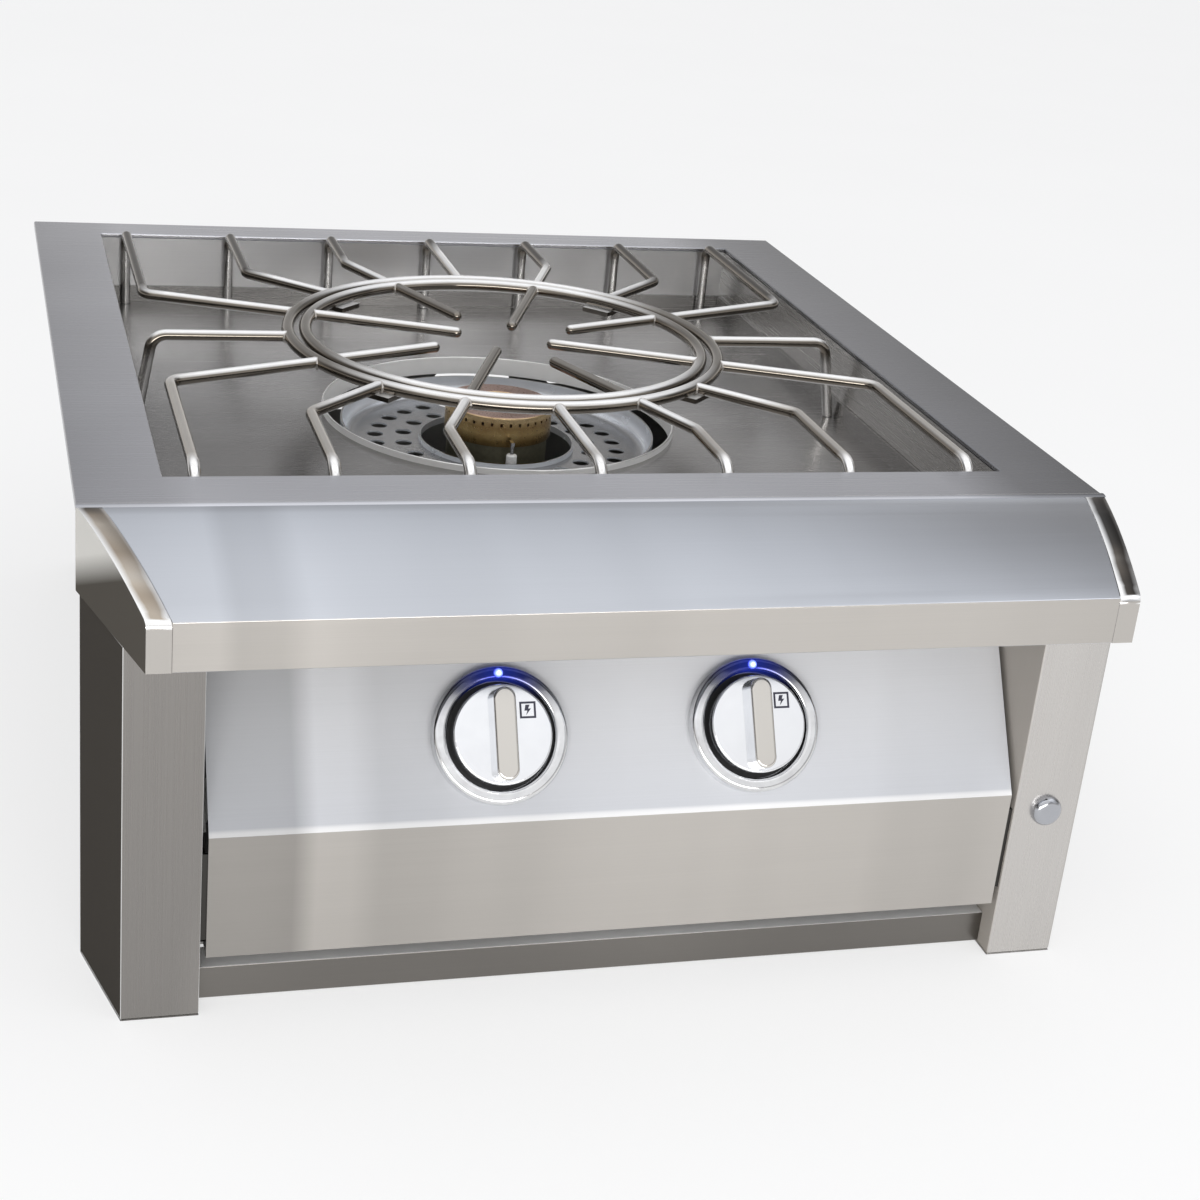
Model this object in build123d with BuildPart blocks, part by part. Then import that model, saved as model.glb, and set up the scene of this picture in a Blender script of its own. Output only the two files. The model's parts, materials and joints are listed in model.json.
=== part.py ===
"""Built-in outdoor-kitchen power burner: stainless frame, tub, burner, rod grate and two push-and-turn knobs.

Units are millimetres. The origin is at the base, below the middle of the unit; +Y points to the back.
"""
import os
from math import cos, radians, sin, tan

from build123d import *

os.makedirs("parts", exist_ok=True)

# Overall sizes
rim_width = 570.0
rim_depth = 572.0
rim_height = 260.0
rim_thick = 3.0
side_rim = 46.0
front_rim = 40.0
rear_rim = 30.0
hem_width = 14.0
sheet = 1.5

# Clearances
running_gap = 0.1
seat_gap = 0.3
pan_gap = 0.3

# Nose over the controls
nose_reach = 100.0
nose_taper = 26.5
nose_drop = 20.0
nose_face = 26.0
nose_bulge = 3.5
nose_return = 12.0
nose_end_width = 12.0
nose_end_round = 5.0

# Front posts, control panel and lower rail
post_inset = 18.5
post_face = 40.0
post_setback = 32.5
side_inset = 2.0
panel_tilt = 32.0
panel_gap = 3.0
panel_slope_height = 104.5
panel_bottom_height = 35.0
panel_top_gap = 4.0
panel_return = 14.0
bracket_arm = 20.0
bracket_margin = 10.0
rail_recess = 12.5
rail_low = 2.0
rail_height = 19.0
rail_return = 20.0
bolt_height = 95.0
bolt_head_radius = 9.0
bolt_head_height = 5.0
bolt_head_round = 4.0
bolt_radius = 4.0
nut_height = 5.0

# Tub
tub_depth = 50.0
pan_upstand = 12.0
wall_lip = 10.0

# Burner well, bowl and burner
burner_forward = 7.0
well_radius = 114.0
well_collar_up = 4.0
well_collar_down = 8.0
collar_round = 0.5
well_gap = 11.0
bowl_wall = 1.2
bowl_depth = 14.0
bowl_round = 10.0
bowl_drop = 20.0
bowl_centre_radius = 50.0
bowl_hub_up = 3.0
bowl_hole_radius = 5.5
bowl_inner_margin = 12.0
bowl_outer_holes = 28
bowl_ring_pitch = 18.0
bowl_inner_holes = 18
hanger_width = 14.0
hanger_count = 3
hanger_angle = 30.0
hanger_foot = 12.0
head_radius = 35.0
head_bore = 20.0
head_height = 16.0
head_drop = 44.0
head_slots = 36
head_slot_width = 1.6
head_slot_depth = 2.5
cap_height = 4.0
cap_overhang = 1.0
cap_round = 1.3
body_step = 2.0
body_bore = 26.0
body_height = 35.0
body_floor = 4.0
inner_radius = 12.0
inner_rise = 6.0
inner_round = 2.0
inner_post_radius = 7.0
burner_strap_width = 40.0
burner_strap_clear = 14.5
burner_strap_thick = 2.0
burner_strap_gap = 2.0
burner_seat_rim = 7.0
strap_foot = 15.0
igniter_radius = 3.5
igniter_round = 1.2
igniter_height = 33.0
igniter_tab_width = 16.0
igniter_wire = 1.2
igniter_wire_rise = 8.0
igniter_wire_reach = 5.0

# Knobs and bezels, measured outward from the control panel
knob_spacing = 142.0
knob_rise = 38.5
bezel_outer = 36.5
bezel_width = 7.5
bezel_height = 8.0
bezel_edge = 2.5
led_radius = 2.6
led_rise = 1.6
led_round = 2.0
knob_gap = 2.5
knob_rest_gap = 1.0
knob_skirt = 7.0
knob_bar_width = 12.0
knob_bar_inset = 2.0
knob_bar_height = 8.0
knob_bar_round = 1.5
knob_edge = 1.0
knob_socket_depth = 8.0
push_travel = 4.0

# Gas valves, manifold and pipes, measured inward from the control panel
valve_side = 26.0
valve_nose_radius = 7.0
valve_nose_end = 2.5
valve_front = 24.0
valve_rear = 62.0
plug_radius = 7.5
valve_cover = 2.0
valve_floor = 4.0
stem_end_gap = 2.0
stem_radius = 4.0
stem_flat = 2.6
stem_grip = 12.0
panel_hole_radius = 8.0
orifice_radius = 6.0
orifice_length = 12.0
orifice_bore = 1.0
manifold_side = 22.0
manifold_wall = 2.0
manifold_bracket = 34.0
manifold_bracket_thick = 4.5
venturi_radius = 11.0
venturi_wall = 1.2
venturi_overlap = 6.0
venturi_fall = 28.0
venturi_bend = 40.0
venturi_spread = 30.0
shutter_wall = 1.2
shutter_length = 16.0
shutter_offset = 8.0
supply_inset = 32.0
supply_fall = 34.0
supply_radius = 7.0
supply_wall = 1.2
supply_bend = 30.0
inlet_thread_radius = 10.5
inlet_bore = 6.0
inlet_hex = 27.0
inlet_hex_length = 6.0
inlet_reach = 20.0
inlet_chamfer = 1.0
inlet_inside = 10.0
module_width = 60.0
module_depth = 28.0
module_height = 34.0
module_rise = 9.0
module_x = -140.0

# Housing below the rim
rim_overhang = 31.0
housing_rear_inset = 22.0
housing_flange = 14.0
vent_length = 60.0
vent_height = 8.0
vent_columns = 4
vent_rows = 3
vent_pitch_x = 90.0
vent_pitch_z = 22.0
vent_mid_height = 150.0
screw_radius = 2.0
screw_head_radius = 4.0
screw_head_height = 2.2
screw_count = 3
screw_pitch = 85.0
screw_reach = 6.0

# Rod grate and lift-out wok ring
grate_rise = 6.0
rod_radius = 3.5
outer_rod_inset = 17.0
rod_count = 16
rod_rows = 3
rod_bend = 10.0
rod_wall_gap = 0.7
side_leg_splay = 9.0
ring_rod_radius = 4.0
grate_ring_radius = 139.0
wok_gap = 3.0
tab_width = 20.0
tab_thick = 3.0
tab_count = 4
tab_margin = 3.0
finger_radius = 3.5
finger_long_tip = 28.0
finger_short_tip = 51.0
finger_angle = 22.5
finger_pairs = 4

# Places worked out from the sizes above
crease_y = nose_reach - (rim_depth + nose_reach) / 2
rear_y = crease_y + rim_depth
nose_front_y = crease_y - nose_reach
nose_bottom = rim_height - nose_drop - nose_face
rim_under = rim_height - rim_thick
hem_under = rim_under - sheet
opening_half = rim_width / 2 - side_rim
opening_front = crease_y + front_rim
opening_rear = rear_y - rear_rim
floor_z = rim_height - tub_depth
floor_under = floor_z - sheet
wall_bottom = floor_under - sheet
burner_y = (opening_front + opening_rear) / 2 - burner_forward
post_front_y = nose_front_y + post_setback
post_outer_x = rim_width / 2 - post_inset
post_inner_x = post_outer_x - post_face
panel_half = post_inner_x - panel_gap
panel_inside_y = post_front_y + sheet
panel_top_height = nose_bottom - panel_top_gap
panel_bend_height = panel_top_height - panel_slope_height
bowl_radius = well_radius - well_gap
bowl_inner_ring = bowl_centre_radius + bowl_inner_margin
bowl_outer_ring = bowl_inner_ring + bowl_ring_pitch
bowl_bottom = floor_z - bowl_drop
body_radius = head_radius - body_step
head_top = rim_height - head_drop
body_top = head_top - head_height
body_bottom = body_top - body_height
strap_bottom = body_bottom - burner_strap_thick
igniter_y = burner_y - (head_radius + bowl_centre_radius) / 2
strap_hole = venturi_spread / 2 + venturi_radius + burner_strap_gap
strap_seat = body_radius + burner_seat_rim
housing_half = rim_width / 2 - rim_overhang
housing_rear_y = rear_y - housing_rear_inset
grate_top = rim_height + grate_rise
ring_z = grate_top - ring_rod_radius
tab_top = ring_z - ring_rod_radius
foot_z = floor_z + seat_gap
rod_step = 360.0 / rod_count
rod_pitch = (opening_half - outer_rod_inset) / rod_rows
wok_ring_radius = grate_ring_radius - 2 * ring_rod_radius - wok_gap
bezel_inner = bezel_outer - bezel_width
knob_radius = bezel_inner - knob_gap
knob_low = push_travel + knob_rest_gap
knob_skirt_high = knob_low + knob_skirt
plug_front = valve_front + valve_cover
plug_rear = valve_rear - valve_floor
plug_socket = stem_grip + push_travel + stem_end_gap
manifold_depth = (valve_front + valve_rear) / 2
manifold_half = post_inner_x - manifold_bracket_thick
supply_x = manifold_half - supply_inset

# The knobs' plane lies on the panel's tilted face: x across, y up the face, z straight out
tilt = radians(panel_tilt)
knob_height = panel_bend_height + knob_rise
knob_y = post_front_y + knob_rise * tan(tilt)
knob_plane = Plane(origin=(0, knob_y, knob_height), x_dir=(1, 0, 0), z_dir=(0, -cos(tilt), sin(tilt)))
knob_axis = Axis(knob_plane.origin, knob_plane.z_dir)
knob_sides = (("left", -knob_spacing / 2), ("right", knob_spacing / 2))
hand = (("left", -1), ("right", 1))


def finish(builder, name):
    """Label a finished piece and write it."""
    builder.part.label = name
    export_step(builder.part, f"parts/{name}.step")


def block(x, y, z, mode=Mode.ADD):
    """A box between pairs of x, y and z limits, in the piece being built."""
    with Locations(((x[0] + x[1]) / 2, (y[0] + y[1]) / 2, (z[0] + z[1]) / 2)):
        Box(abs(x[1] - x[0]), y[1] - y[0], z[1] - z[0], mode=mode)


def disc(radius, low, high, at=(0, 0), mode=Mode.ADD):
    """An upright cylinder between two heights, in the piece being built."""
    with Locations((at[0], at[1], low)):
        Cylinder(radius, high - low, align=(Align.CENTER, Align.CENTER, Align.MIN), mode=mode)


def knob_disc(x, radius, low, high, mode=Mode.ADD, y=0):
    """A cylinder along a knob's axis, between two distances out from the panel's face."""
    with BuildSketch(knob_plane.offset(low)) as outline:
        with Locations((x, y)):
            Circle(radius)
    extrude(outline.sketch, amount=high - low, mode=mode)


def knob_key(x, radius, flat, low, high, mode=Mode.ADD):
    """A D-shaped bar along a knob's axis: a round with one flat."""
    with BuildSketch(knob_plane.offset(low)) as outline:
        with Locations((x, 0)):
            Circle(radius)
        with Locations((x, flat)):
            Rectangle(2 * radius, 2 * radius, align=(Align.CENTER, Align.MIN), mode=Mode.SUBTRACT)
    extrude(outline.sketch, amount=high - low, mode=mode)


def nose_outline(inset):
    """The nose's side outline, moved inward by a sheet thickness: rear top, crown, front edge."""
    mid_z = rim_height - nose_drop / 2 + nose_bulge
    rear = (crease_y, rim_height - inset)
    crown = (crease_y - nose_reach / 2, mid_z - inset)
    front = (nose_front_y + inset, rim_height - nose_drop - inset)
    return rear, crown, front


# Rim frame, hemmed under its outer edges where it rests on a counter
with BuildPart() as top_frame:
    block((-rim_width / 2, rim_width / 2), (crease_y, rear_y), (rim_under, rim_height))
    opening_y = (opening_front, opening_rear)
    block((-opening_half, opening_half), opening_y, (rim_under, rim_height), Mode.SUBTRACT)
    hem_z = (hem_under, rim_under)
    hem_inner = rim_width / 2 - hem_width
    for side, sign in hand:
        block((sign * hem_inner, sign * rim_width / 2), (crease_y + sheet + seat_gap, rear_y), hem_z)
    block((-hem_inner, hem_inner), (rear_y - hem_width, rear_y), hem_z)
finish(top_frame, "top_frame")

# Tub walls, each with a lip that carries the floor pan
for side, sign in hand:
    with BuildPart() as tub_wall:
        outer = sign * (opening_half + sheet)
        inner = sign * opening_half
        lip_end = sign * (opening_half - wall_lip)
        block((outer, inner), (opening_front - sheet, opening_rear + sheet), (wall_bottom, rim_under))
        block((inner, lip_end), (opening_front, opening_rear), (wall_bottom, floor_under))
    finish(tub_wall, f"tub_wall_{side}")

for side, face_y, sign in (("front", opening_front, -1), ("rear", opening_rear, 1)):
    with BuildPart() as tub_wall:
        back = sorted((face_y, face_y + sign * sheet))
        lip = sorted((face_y, face_y - sign * wall_lip))
        lip_half = opening_half - wall_lip
        block((-opening_half, opening_half), back, (wall_bottom, rim_under))
        block((-lip_half, lip_half), lip, (wall_bottom, floor_under))
    finish(tub_wall, f"tub_wall_{side}")

# Tub floor: a flat plate on the walls' lips, open at the burner well
pan_x = opening_half - pan_gap
pan_y = (opening_front + pan_gap, opening_rear - pan_gap)
with BuildPart() as tub_floor:
    block((-pan_x, pan_x), pan_y, (floor_under, floor_z))
    disc(well_radius + sheet, floor_under, floor_z, at=(0, burner_y), mode=Mode.SUBTRACT)
finish(tub_floor, "tub_floor")

# Upstanding strips along the floor's four edges
with BuildPart() as tub_floor_edges:
    strip_z = (floor_z, floor_z + pan_upstand)
    for side, sign in hand:
        block((sign * pan_x, sign * (pan_x - sheet)), pan_y, strip_z)
    strip_half = pan_x - sheet - pan_gap
    for strip_y in ((pan_y[0], pan_y[0] + sheet), (pan_y[1] - sheet, pan_y[1])):
        block((-strip_half, strip_half), strip_y, strip_z)
finish(tub_floor_edges, "tub_floor_edges")

# Collar that lines the burner well
with BuildPart() as well_collar:
    collar = (floor_z - well_collar_down, floor_z + well_collar_up)
    disc(well_radius + sheet, *collar, at=(0, burner_y))
    disc(well_radius, *collar, at=(0, burner_y), mode=Mode.SUBTRACT)
    fillet(well_collar.edges().group_by(Axis.Z)[-1], collar_round)
finish(well_collar, "well_collar")

# Burner bowl: a perforated dish below the well, with a rolled edge around the burner
with BuildPart() as burner_bowl:
    bowl_top = bowl_bottom + bowl_depth
    dish_floor = bowl_bottom + bowl_wall
    hub_top = dish_floor + bowl_hub_up
    hub_outer = bowl_centre_radius + bowl_wall
    corner = (bowl_radius - bowl_round, bowl_bottom + bowl_round)
    with BuildSketch(Plane(origin=(0, burner_y, 0), x_dir=(1, 0, 0), z_dir=(0, -1, 0))):
        with BuildLine():
            under = CenterArc(corner, bowl_round, 270, 90)
            over = CenterArc(corner, bowl_round - bowl_wall, 270, 90)
            Polyline(under @ 1, (bowl_radius, bowl_top), (bowl_radius - bowl_wall, bowl_top), over @ 1)
            Polyline(
                over @ 0,
                (hub_outer, dish_floor),
                (hub_outer, hub_top),
                (bowl_centre_radius, hub_top),
                (bowl_centre_radius, bowl_bottom),
                under @ 0,
            )
        make_face()
    revolve(axis=Axis((0, burner_y, 0), (0, 0, 1)))
    with Locations((0, burner_y, bowl_bottom + bowl_wall / 2)):
        with PolarLocations(bowl_outer_ring, bowl_outer_holes):
            Cylinder(bowl_hole_radius, 2 * bowl_wall, mode=Mode.SUBTRACT)
        with PolarLocations(bowl_inner_ring, bowl_inner_holes):
            Cylinder(bowl_hole_radius, 2 * bowl_wall, mode=Mode.SUBTRACT)
finish(burner_bowl, "burner_bowl")

# Hangers that carry the bowl from the underside of the floor
with BuildPart() as bowl_hangers:
    strip_z = bowl_bottom + bowl_round
    hanger_end = well_radius + sheet + hanger_foot
    with Locations((0, burner_y, strip_z)):
        with PolarLocations((bowl_radius + hanger_end) / 2, hanger_count, start_angle=hanger_angle):
            Box(hanger_end - bowl_radius, hanger_width, sheet, align=(Align.CENTER, Align.CENTER, Align.MIN))
        with PolarLocations(hanger_end - sheet / 2, hanger_count, start_angle=hanger_angle):
            riser = floor_under - strip_z
            Box(sheet, hanger_width, riser, align=(Align.CENTER, Align.CENTER, Align.MIN))
finish(bowl_hangers, "bowl_hangers")

# Strap under the floor that carries the burner, with a tab for the igniter
with BuildPart() as burner_bracket:
    strap_y = (burner_y - burner_strap_width / 2, burner_y + burner_strap_width / 2)
    strap_x = well_radius + sheet + burner_strap_clear
    block((-strap_x, strap_x), strap_y, (strap_bottom, body_bottom))
    disc(strap_seat, strap_bottom, body_bottom, at=(0, burner_y))
    tab_end = igniter_y - igniter_tab_width / 2
    block((-igniter_tab_width / 2, igniter_tab_width / 2), (tab_end, strap_y[1]), (strap_bottom, body_bottom))
    for side, sign in hand:
        riser_x = (sign * (strap_x - burner_strap_thick), sign * strap_x)
        block(riser_x, strap_y, (strap_bottom, floor_under))
        foot_x = (sign * (strap_x - burner_strap_thick), sign * (strap_x + strap_foot))
        block(foot_x, strap_y, (floor_under - burner_strap_thick, floor_under))
    disc(strap_hole, strap_bottom, body_bottom, at=(0, burner_y), mode=Mode.SUBTRACT)
finish(burner_bracket, "burner_bracket")

# Burner body: the cast mixing cup below the head
with BuildPart() as burner_body:
    disc(body_radius, body_bottom, body_top, at=(0, burner_y))
    disc(body_bore, body_bottom + body_floor, body_top, at=(0, burner_y), mode=Mode.SUBTRACT)
    tube_bore = venturi_radius - venturi_wall
    with Locations((0, burner_y, body_bottom)):
        with GridLocations(venturi_spread, 1, 2, 1):
            Cylinder(tube_bore, 2 * body_floor, mode=Mode.SUBTRACT)
finish(burner_body, "burner_body")

# Brass burner head with sawn flame ports around its top
with BuildPart() as burner_head:
    disc(head_radius, body_top, head_top, at=(0, burner_y))
    disc(head_bore, body_top, head_top, at=(0, burner_y), mode=Mode.SUBTRACT)
    with Locations((0, burner_y, head_top)):
        with PolarLocations((head_radius + head_bore) / 2, head_slots):
            slot_run = 2 * (head_radius - head_bore)
            Box(slot_run, head_slot_width, 2 * head_slot_depth, mode=Mode.SUBTRACT)
finish(burner_head, "burner_head")

# Cap over the head's ports
with BuildPart() as burner_cap:
    disc(head_radius + cap_overhang, head_top, head_top + cap_height, at=(0, burner_y))
    disc(head_bore, head_top, head_top + cap_height, at=(0, burner_y), mode=Mode.SUBTRACT)
    fillet(burner_cap.edges().group_by(Axis.Z)[-1], cap_round)
finish(burner_cap, "burner_cap")

# Inner burner: a small brass jet on a post in the middle
with BuildPart() as inner_burner:
    jet_top = head_top + inner_rise
    disc(inner_post_radius, body_bottom + body_floor, jet_top, at=(0, burner_y))
    disc(inner_radius, head_top - inner_rise, jet_top, at=(0, burner_y))
    fillet(inner_burner.edges().group_by(Axis.Z)[-1], inner_round)
finish(inner_burner, "inner_burner")

# Igniter: ceramic insulator on the strap's tab, and its bent wire tip
with BuildPart() as igniter_electrode:
    disc(igniter_radius, body_bottom, body_bottom + igniter_height, at=(0, igniter_y))
    fillet(igniter_electrode.edges().group_by(Axis.Z)[-1], igniter_round)
finish(igniter_electrode, "igniter_electrode")

with BuildPart() as igniter_tip:
    tip_low = body_bottom + igniter_height
    tip_top = tip_low + igniter_wire_rise
    disc(igniter_wire, tip_low, tip_top, at=(0, igniter_y))
    wire_y = (igniter_y - igniter_wire, igniter_y + igniter_wire_reach)
    block((-igniter_wire, igniter_wire), wire_y, (tip_top - 2 * igniter_wire, tip_top))
finish(igniter_tip, "igniter_tip")

# Gas valves: a block on the manifold with a nose for the stem and a bore for the turning plug
for side, x in knob_sides:
    with BuildPart() as valve:
        with BuildSketch(knob_plane.offset(-valve_rear)):
            with Locations((x, 0)):
                Rectangle(valve_side, valve_side)
        extrude(amount=valve_rear - valve_front)
        knob_disc(x, valve_nose_radius, -valve_front, -valve_nose_end)
        plug_bore = (-plug_rear - running_gap, -plug_front + running_gap)
        knob_disc(x, plug_radius + running_gap, *plug_bore, Mode.SUBTRACT)
        knob_disc(x, stem_radius + running_gap, -plug_front, -valve_nose_end, Mode.SUBTRACT)
        knob_disc(x, orifice_bore, -valve_rear, -plug_rear, Mode.SUBTRACT)
    finish(valve, f"valve_{side}")

    with BuildPart() as plug:
        knob_disc(x, plug_radius, -plug_rear, -plug_front)
        socket_floor = -plug_front - plug_socket
        socket = (stem_radius + running_gap, stem_flat + running_gap)
        knob_key(x, *socket, socket_floor, -plug_front, Mode.SUBTRACT)
    finish(plug, f"plug_{side}")

    with BuildPart() as stem:
        knob_key(x, stem_radius, stem_flat, -plug_front - stem_grip, knob_low + knob_socket_depth)
    finish(stem, f"stem_{side}")

# Orifices screwed into the back of each valve
with BuildPart() as orifices:
    for side, x in knob_sides:
        knob_disc(x, orifice_radius, -valve_rear - orifice_length, -valve_rear)
        knob_disc(x, orifice_bore, -valve_rear - orifice_length, -valve_rear, Mode.SUBTRACT)
finish(orifices, "orifices")

# Square manifold pipe that the valves stand on, and the brackets that hold it to the posts
manifold_y = -(valve_side + manifold_side) / 2
manifold_plane = Plane(
    origin=knob_plane.from_local_coords((-manifold_half, manifold_y, -manifold_depth)),
    x_dir=knob_plane.y_dir,
    z_dir=(1, 0, 0),
)
with BuildPart() as manifold:
    with BuildSketch(manifold_plane):
        Rectangle(manifold_side, manifold_side)
        inside = manifold_side - 2 * manifold_wall
        Rectangle(inside, inside, mode=Mode.SUBTRACT)
    extrude(amount=2 * manifold_half)
finish(manifold, "manifold")

with BuildPart() as manifold_brackets:
    for start in (-manifold_bracket_thick, 2 * manifold_half):
        with BuildSketch(manifold_plane.offset(start)):
            Rectangle(manifold_bracket, manifold_bracket)
        extrude(amount=manifold_bracket_thick)
finish(manifold_brackets, "manifold_brackets")

# Venturi tubes from each orifice to the burner body
venturi_mouth = -valve_rear - orifice_length + venturi_overlap
mouth_height = knob_plane.from_local_coords((0, 0, venturi_mouth)).Z
venturi_low = mouth_height - venturi_fall
venturi_run = venturi_fall / sin(tilt)
for side, x in knob_sides:
    sign = 1 if x > 0 else -1
    mouth = knob_plane.from_local_coords((x, 0, venturi_mouth))
    elbow = knob_plane.from_local_coords((x, 0, venturi_mouth - venturi_run))
    below = (sign * venturi_spread / 2, burner_y, venturi_low)
    top = (sign * venturi_spread / 2, burner_y, body_bottom)
    with BuildPart() as venturi:
        with BuildLine() as route:
            FilletPolyline(mouth, elbow, below, top, radius=venturi_bend)
        with BuildSketch(Plane(origin=route.line @ 0, z_dir=route.line % 0)):
            Circle(venturi_radius)
            Circle(venturi_radius - venturi_wall, mode=Mode.SUBTRACT)
        sweep(path=route.line)
    finish(venturi, f"venturi_{side}")

# Air shutters: collars around the mouths of the venturi tubes
with BuildPart() as air_shutters:
    collar_high = venturi_mouth - shutter_offset
    for side, x in knob_sides:
        bore = venturi_radius + running_gap
        knob_disc(x, bore + shutter_wall, collar_high - shutter_length, collar_high)
        knob_disc(x, bore, collar_high - shutter_length, collar_high, Mode.SUBTRACT)
finish(air_shutters, "air_shutters")

# Supply pipe from the inlet at the back to the manifold's rear face
supply_end = knob_plane.from_local_coords((supply_x, manifold_y, -manifold_depth - manifold_side / 2))
supply_height = supply_end.Z - supply_fall
supply_elbow = supply_end - knob_plane.z_dir * supply_fall / sin(tilt)
inlet_front = housing_rear_y - sheet - inlet_inside
with BuildPart() as supply_pipe:
    with BuildLine() as route:
        FilletPolyline(supply_end, supply_elbow, (supply_x, inlet_front, supply_height), radius=supply_bend)
    with BuildSketch(Plane(origin=route.line @ 0, z_dir=route.line % 0)):
        Circle(supply_radius)
        Circle(supply_radius - supply_wall, mode=Mode.SUBTRACT)
    sweep(path=route.line)
finish(supply_pipe, "supply_pipe")

# Gas inlet: a bulkhead fitting with a threaded stub outside the rear wall, and its nut inside
inlet_plane = Plane(origin=(supply_x, inlet_front, supply_height), x_dir=(1, 0, 0), z_dir=(0, 1, 0))
with BuildPart() as gas_inlet:
    stub = inlet_inside + sheet + inlet_reach
    with BuildSketch(inlet_plane):
        Circle(inlet_thread_radius)
    extrude(amount=stub)
    with BuildSketch(inlet_plane.offset(inlet_inside + sheet)):
        RegularPolygon(inlet_hex / 2, 6, major_radius=False)
    extrude(amount=inlet_hex_length)
    with BuildSketch(inlet_plane):
        Circle(inlet_bore)
    extrude(amount=stub, mode=Mode.SUBTRACT)
    end_edges = gas_inlet.edges().filter_by(GeomType.CIRCLE).group_by(Axis.Y)[-1]
    chamfer(end_edges.sort_by(SortBy.RADIUS)[-1], inlet_chamfer)
finish(gas_inlet, "gas_inlet")

with BuildPart() as inlet_nut:
    with BuildSketch(inlet_plane.offset(inlet_inside)):
        RegularPolygon(inlet_hex / 2, 6, major_radius=False)
        Circle(inlet_thread_radius + running_gap, mode=Mode.SUBTRACT)
    extrude(amount=-inlet_hex_length)
finish(inlet_nut, "inlet_nut")

# Ignition module fixed behind the lower panel
with BuildPart() as ignition_module:
    module_x_limits = (module_x - module_width / 2, module_x + module_width / 2)
    module_y_limits = (panel_inside_y, panel_inside_y + module_depth)
    module_low = panel_bottom_height + module_rise
    block(module_x_limits, module_y_limits, (module_low, module_low + module_height))
    fillet(ignition_module.edges().filter_by(Axis.Z), sheet)
finish(ignition_module, "ignition_module")

# Control panel: one bent sheet, tilted above the bend and upright below it
with BuildPart() as control_panel:
    with BuildSketch(Plane.YZ):
        top_run = panel_slope_height * tan(tilt)
        thick_y = sheet / cos(tilt)
        with BuildLine():
            Polyline(
                (post_front_y + top_run, panel_top_height),
                (post_front_y, panel_bend_height),
                (post_front_y, panel_bottom_height),
                (post_front_y + panel_return, panel_bottom_height),
                (post_front_y + panel_return, panel_bottom_height + sheet),
                (panel_inside_y, panel_bottom_height + sheet),
                (panel_inside_y, panel_bend_height - (thick_y - sheet) / tan(tilt)),
                (post_front_y + top_run + thick_y, panel_top_height),
                close=True,
            )
        make_face()
    extrude(amount=panel_half, both=True)
    for side, x in knob_sides:
        knob_disc(x, panel_hole_radius, -2 * sheet, sheet, Mode.SUBTRACT)
finish(control_panel, "control_panel")

# Angle brackets that hold the panel to the posts
with BuildPart() as panel_brackets:
    bracket_z = (panel_bottom_height + bracket_margin, panel_bend_height - bracket_margin)
    for side, sign in hand:
        outer = sign * post_inner_x
        block((outer, outer - sign * sheet), (panel_inside_y, panel_inside_y + bracket_arm), bracket_z)
        block((outer, outer - sign * bracket_arm), (panel_inside_y, panel_inside_y + sheet), bracket_z)
finish(panel_brackets, "panel_brackets")

# Front posts: open-backed channels whose outer sides flare back to the rim's corners
side_rear_x = rim_width / 2 - side_inset
bolt_x = post_inner_x + post_face / 2
for side, sign in hand:
    with BuildPart() as post:
        with BuildSketch(Plane.XY):
            Polygon(
                (sign * post_inner_x, post_front_y),
                (sign * post_outer_x, post_front_y),
                (sign * side_rear_x, crease_y),
                (sign * post_inner_x, crease_y),
                align=None,
            )
        extrude(amount=nose_bottom)
        ends = post.faces().filter_by(Axis.Z) + post.faces().sort_by(Axis.Y)[-1:]
        offset(amount=-sheet, openings=ends)
        if side == "right":
            with Locations(Plane((bolt_x, post_front_y, bolt_height), x_dir=(1, 0, 0), z_dir=(0, 1, 0))):
                Cylinder(bolt_radius + running_gap, 4 * sheet, mode=Mode.SUBTRACT)
    finish(post, f"post_{side}")

# Domed bolt in the right post, with its nut inside
bolt_plane = Plane(origin=(bolt_x, post_front_y, bolt_height), x_dir=(1, 0, 0), z_dir=(0, -1, 0))
with BuildPart() as post_bolt:
    with BuildSketch(bolt_plane):
        Circle(bolt_head_radius)
    extrude(amount=bolt_head_height)
    fillet(post_bolt.edges().group_by(Axis.Y)[0], bolt_head_round)
    with BuildSketch(bolt_plane):
        Circle(bolt_radius)
    extrude(amount=-(sheet + nut_height))
    with BuildSketch(bolt_plane.offset(-sheet)):
        RegularPolygon(bolt_head_radius, 6)
        Circle(bolt_radius + running_gap, mode=Mode.SUBTRACT)
    extrude(amount=-nut_height)
finish(post_bolt, "post_bolt")

# Lower rail: a channel between the posts
with BuildPart() as lower_rail:
    rail_y = post_front_y + rail_recess
    rail_top = rail_low + rail_height
    block((-post_inner_x, post_inner_x), (rail_y, rail_y + rail_return), (rail_low, rail_top))
    inside_y = (rail_y + sheet, rail_y + rail_return)
    block((-post_inner_x, post_inner_x), inside_y, (rail_low + sheet, rail_top - sheet), Mode.SUBTRACT)
finish(lower_rail, "lower_rail")

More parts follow.
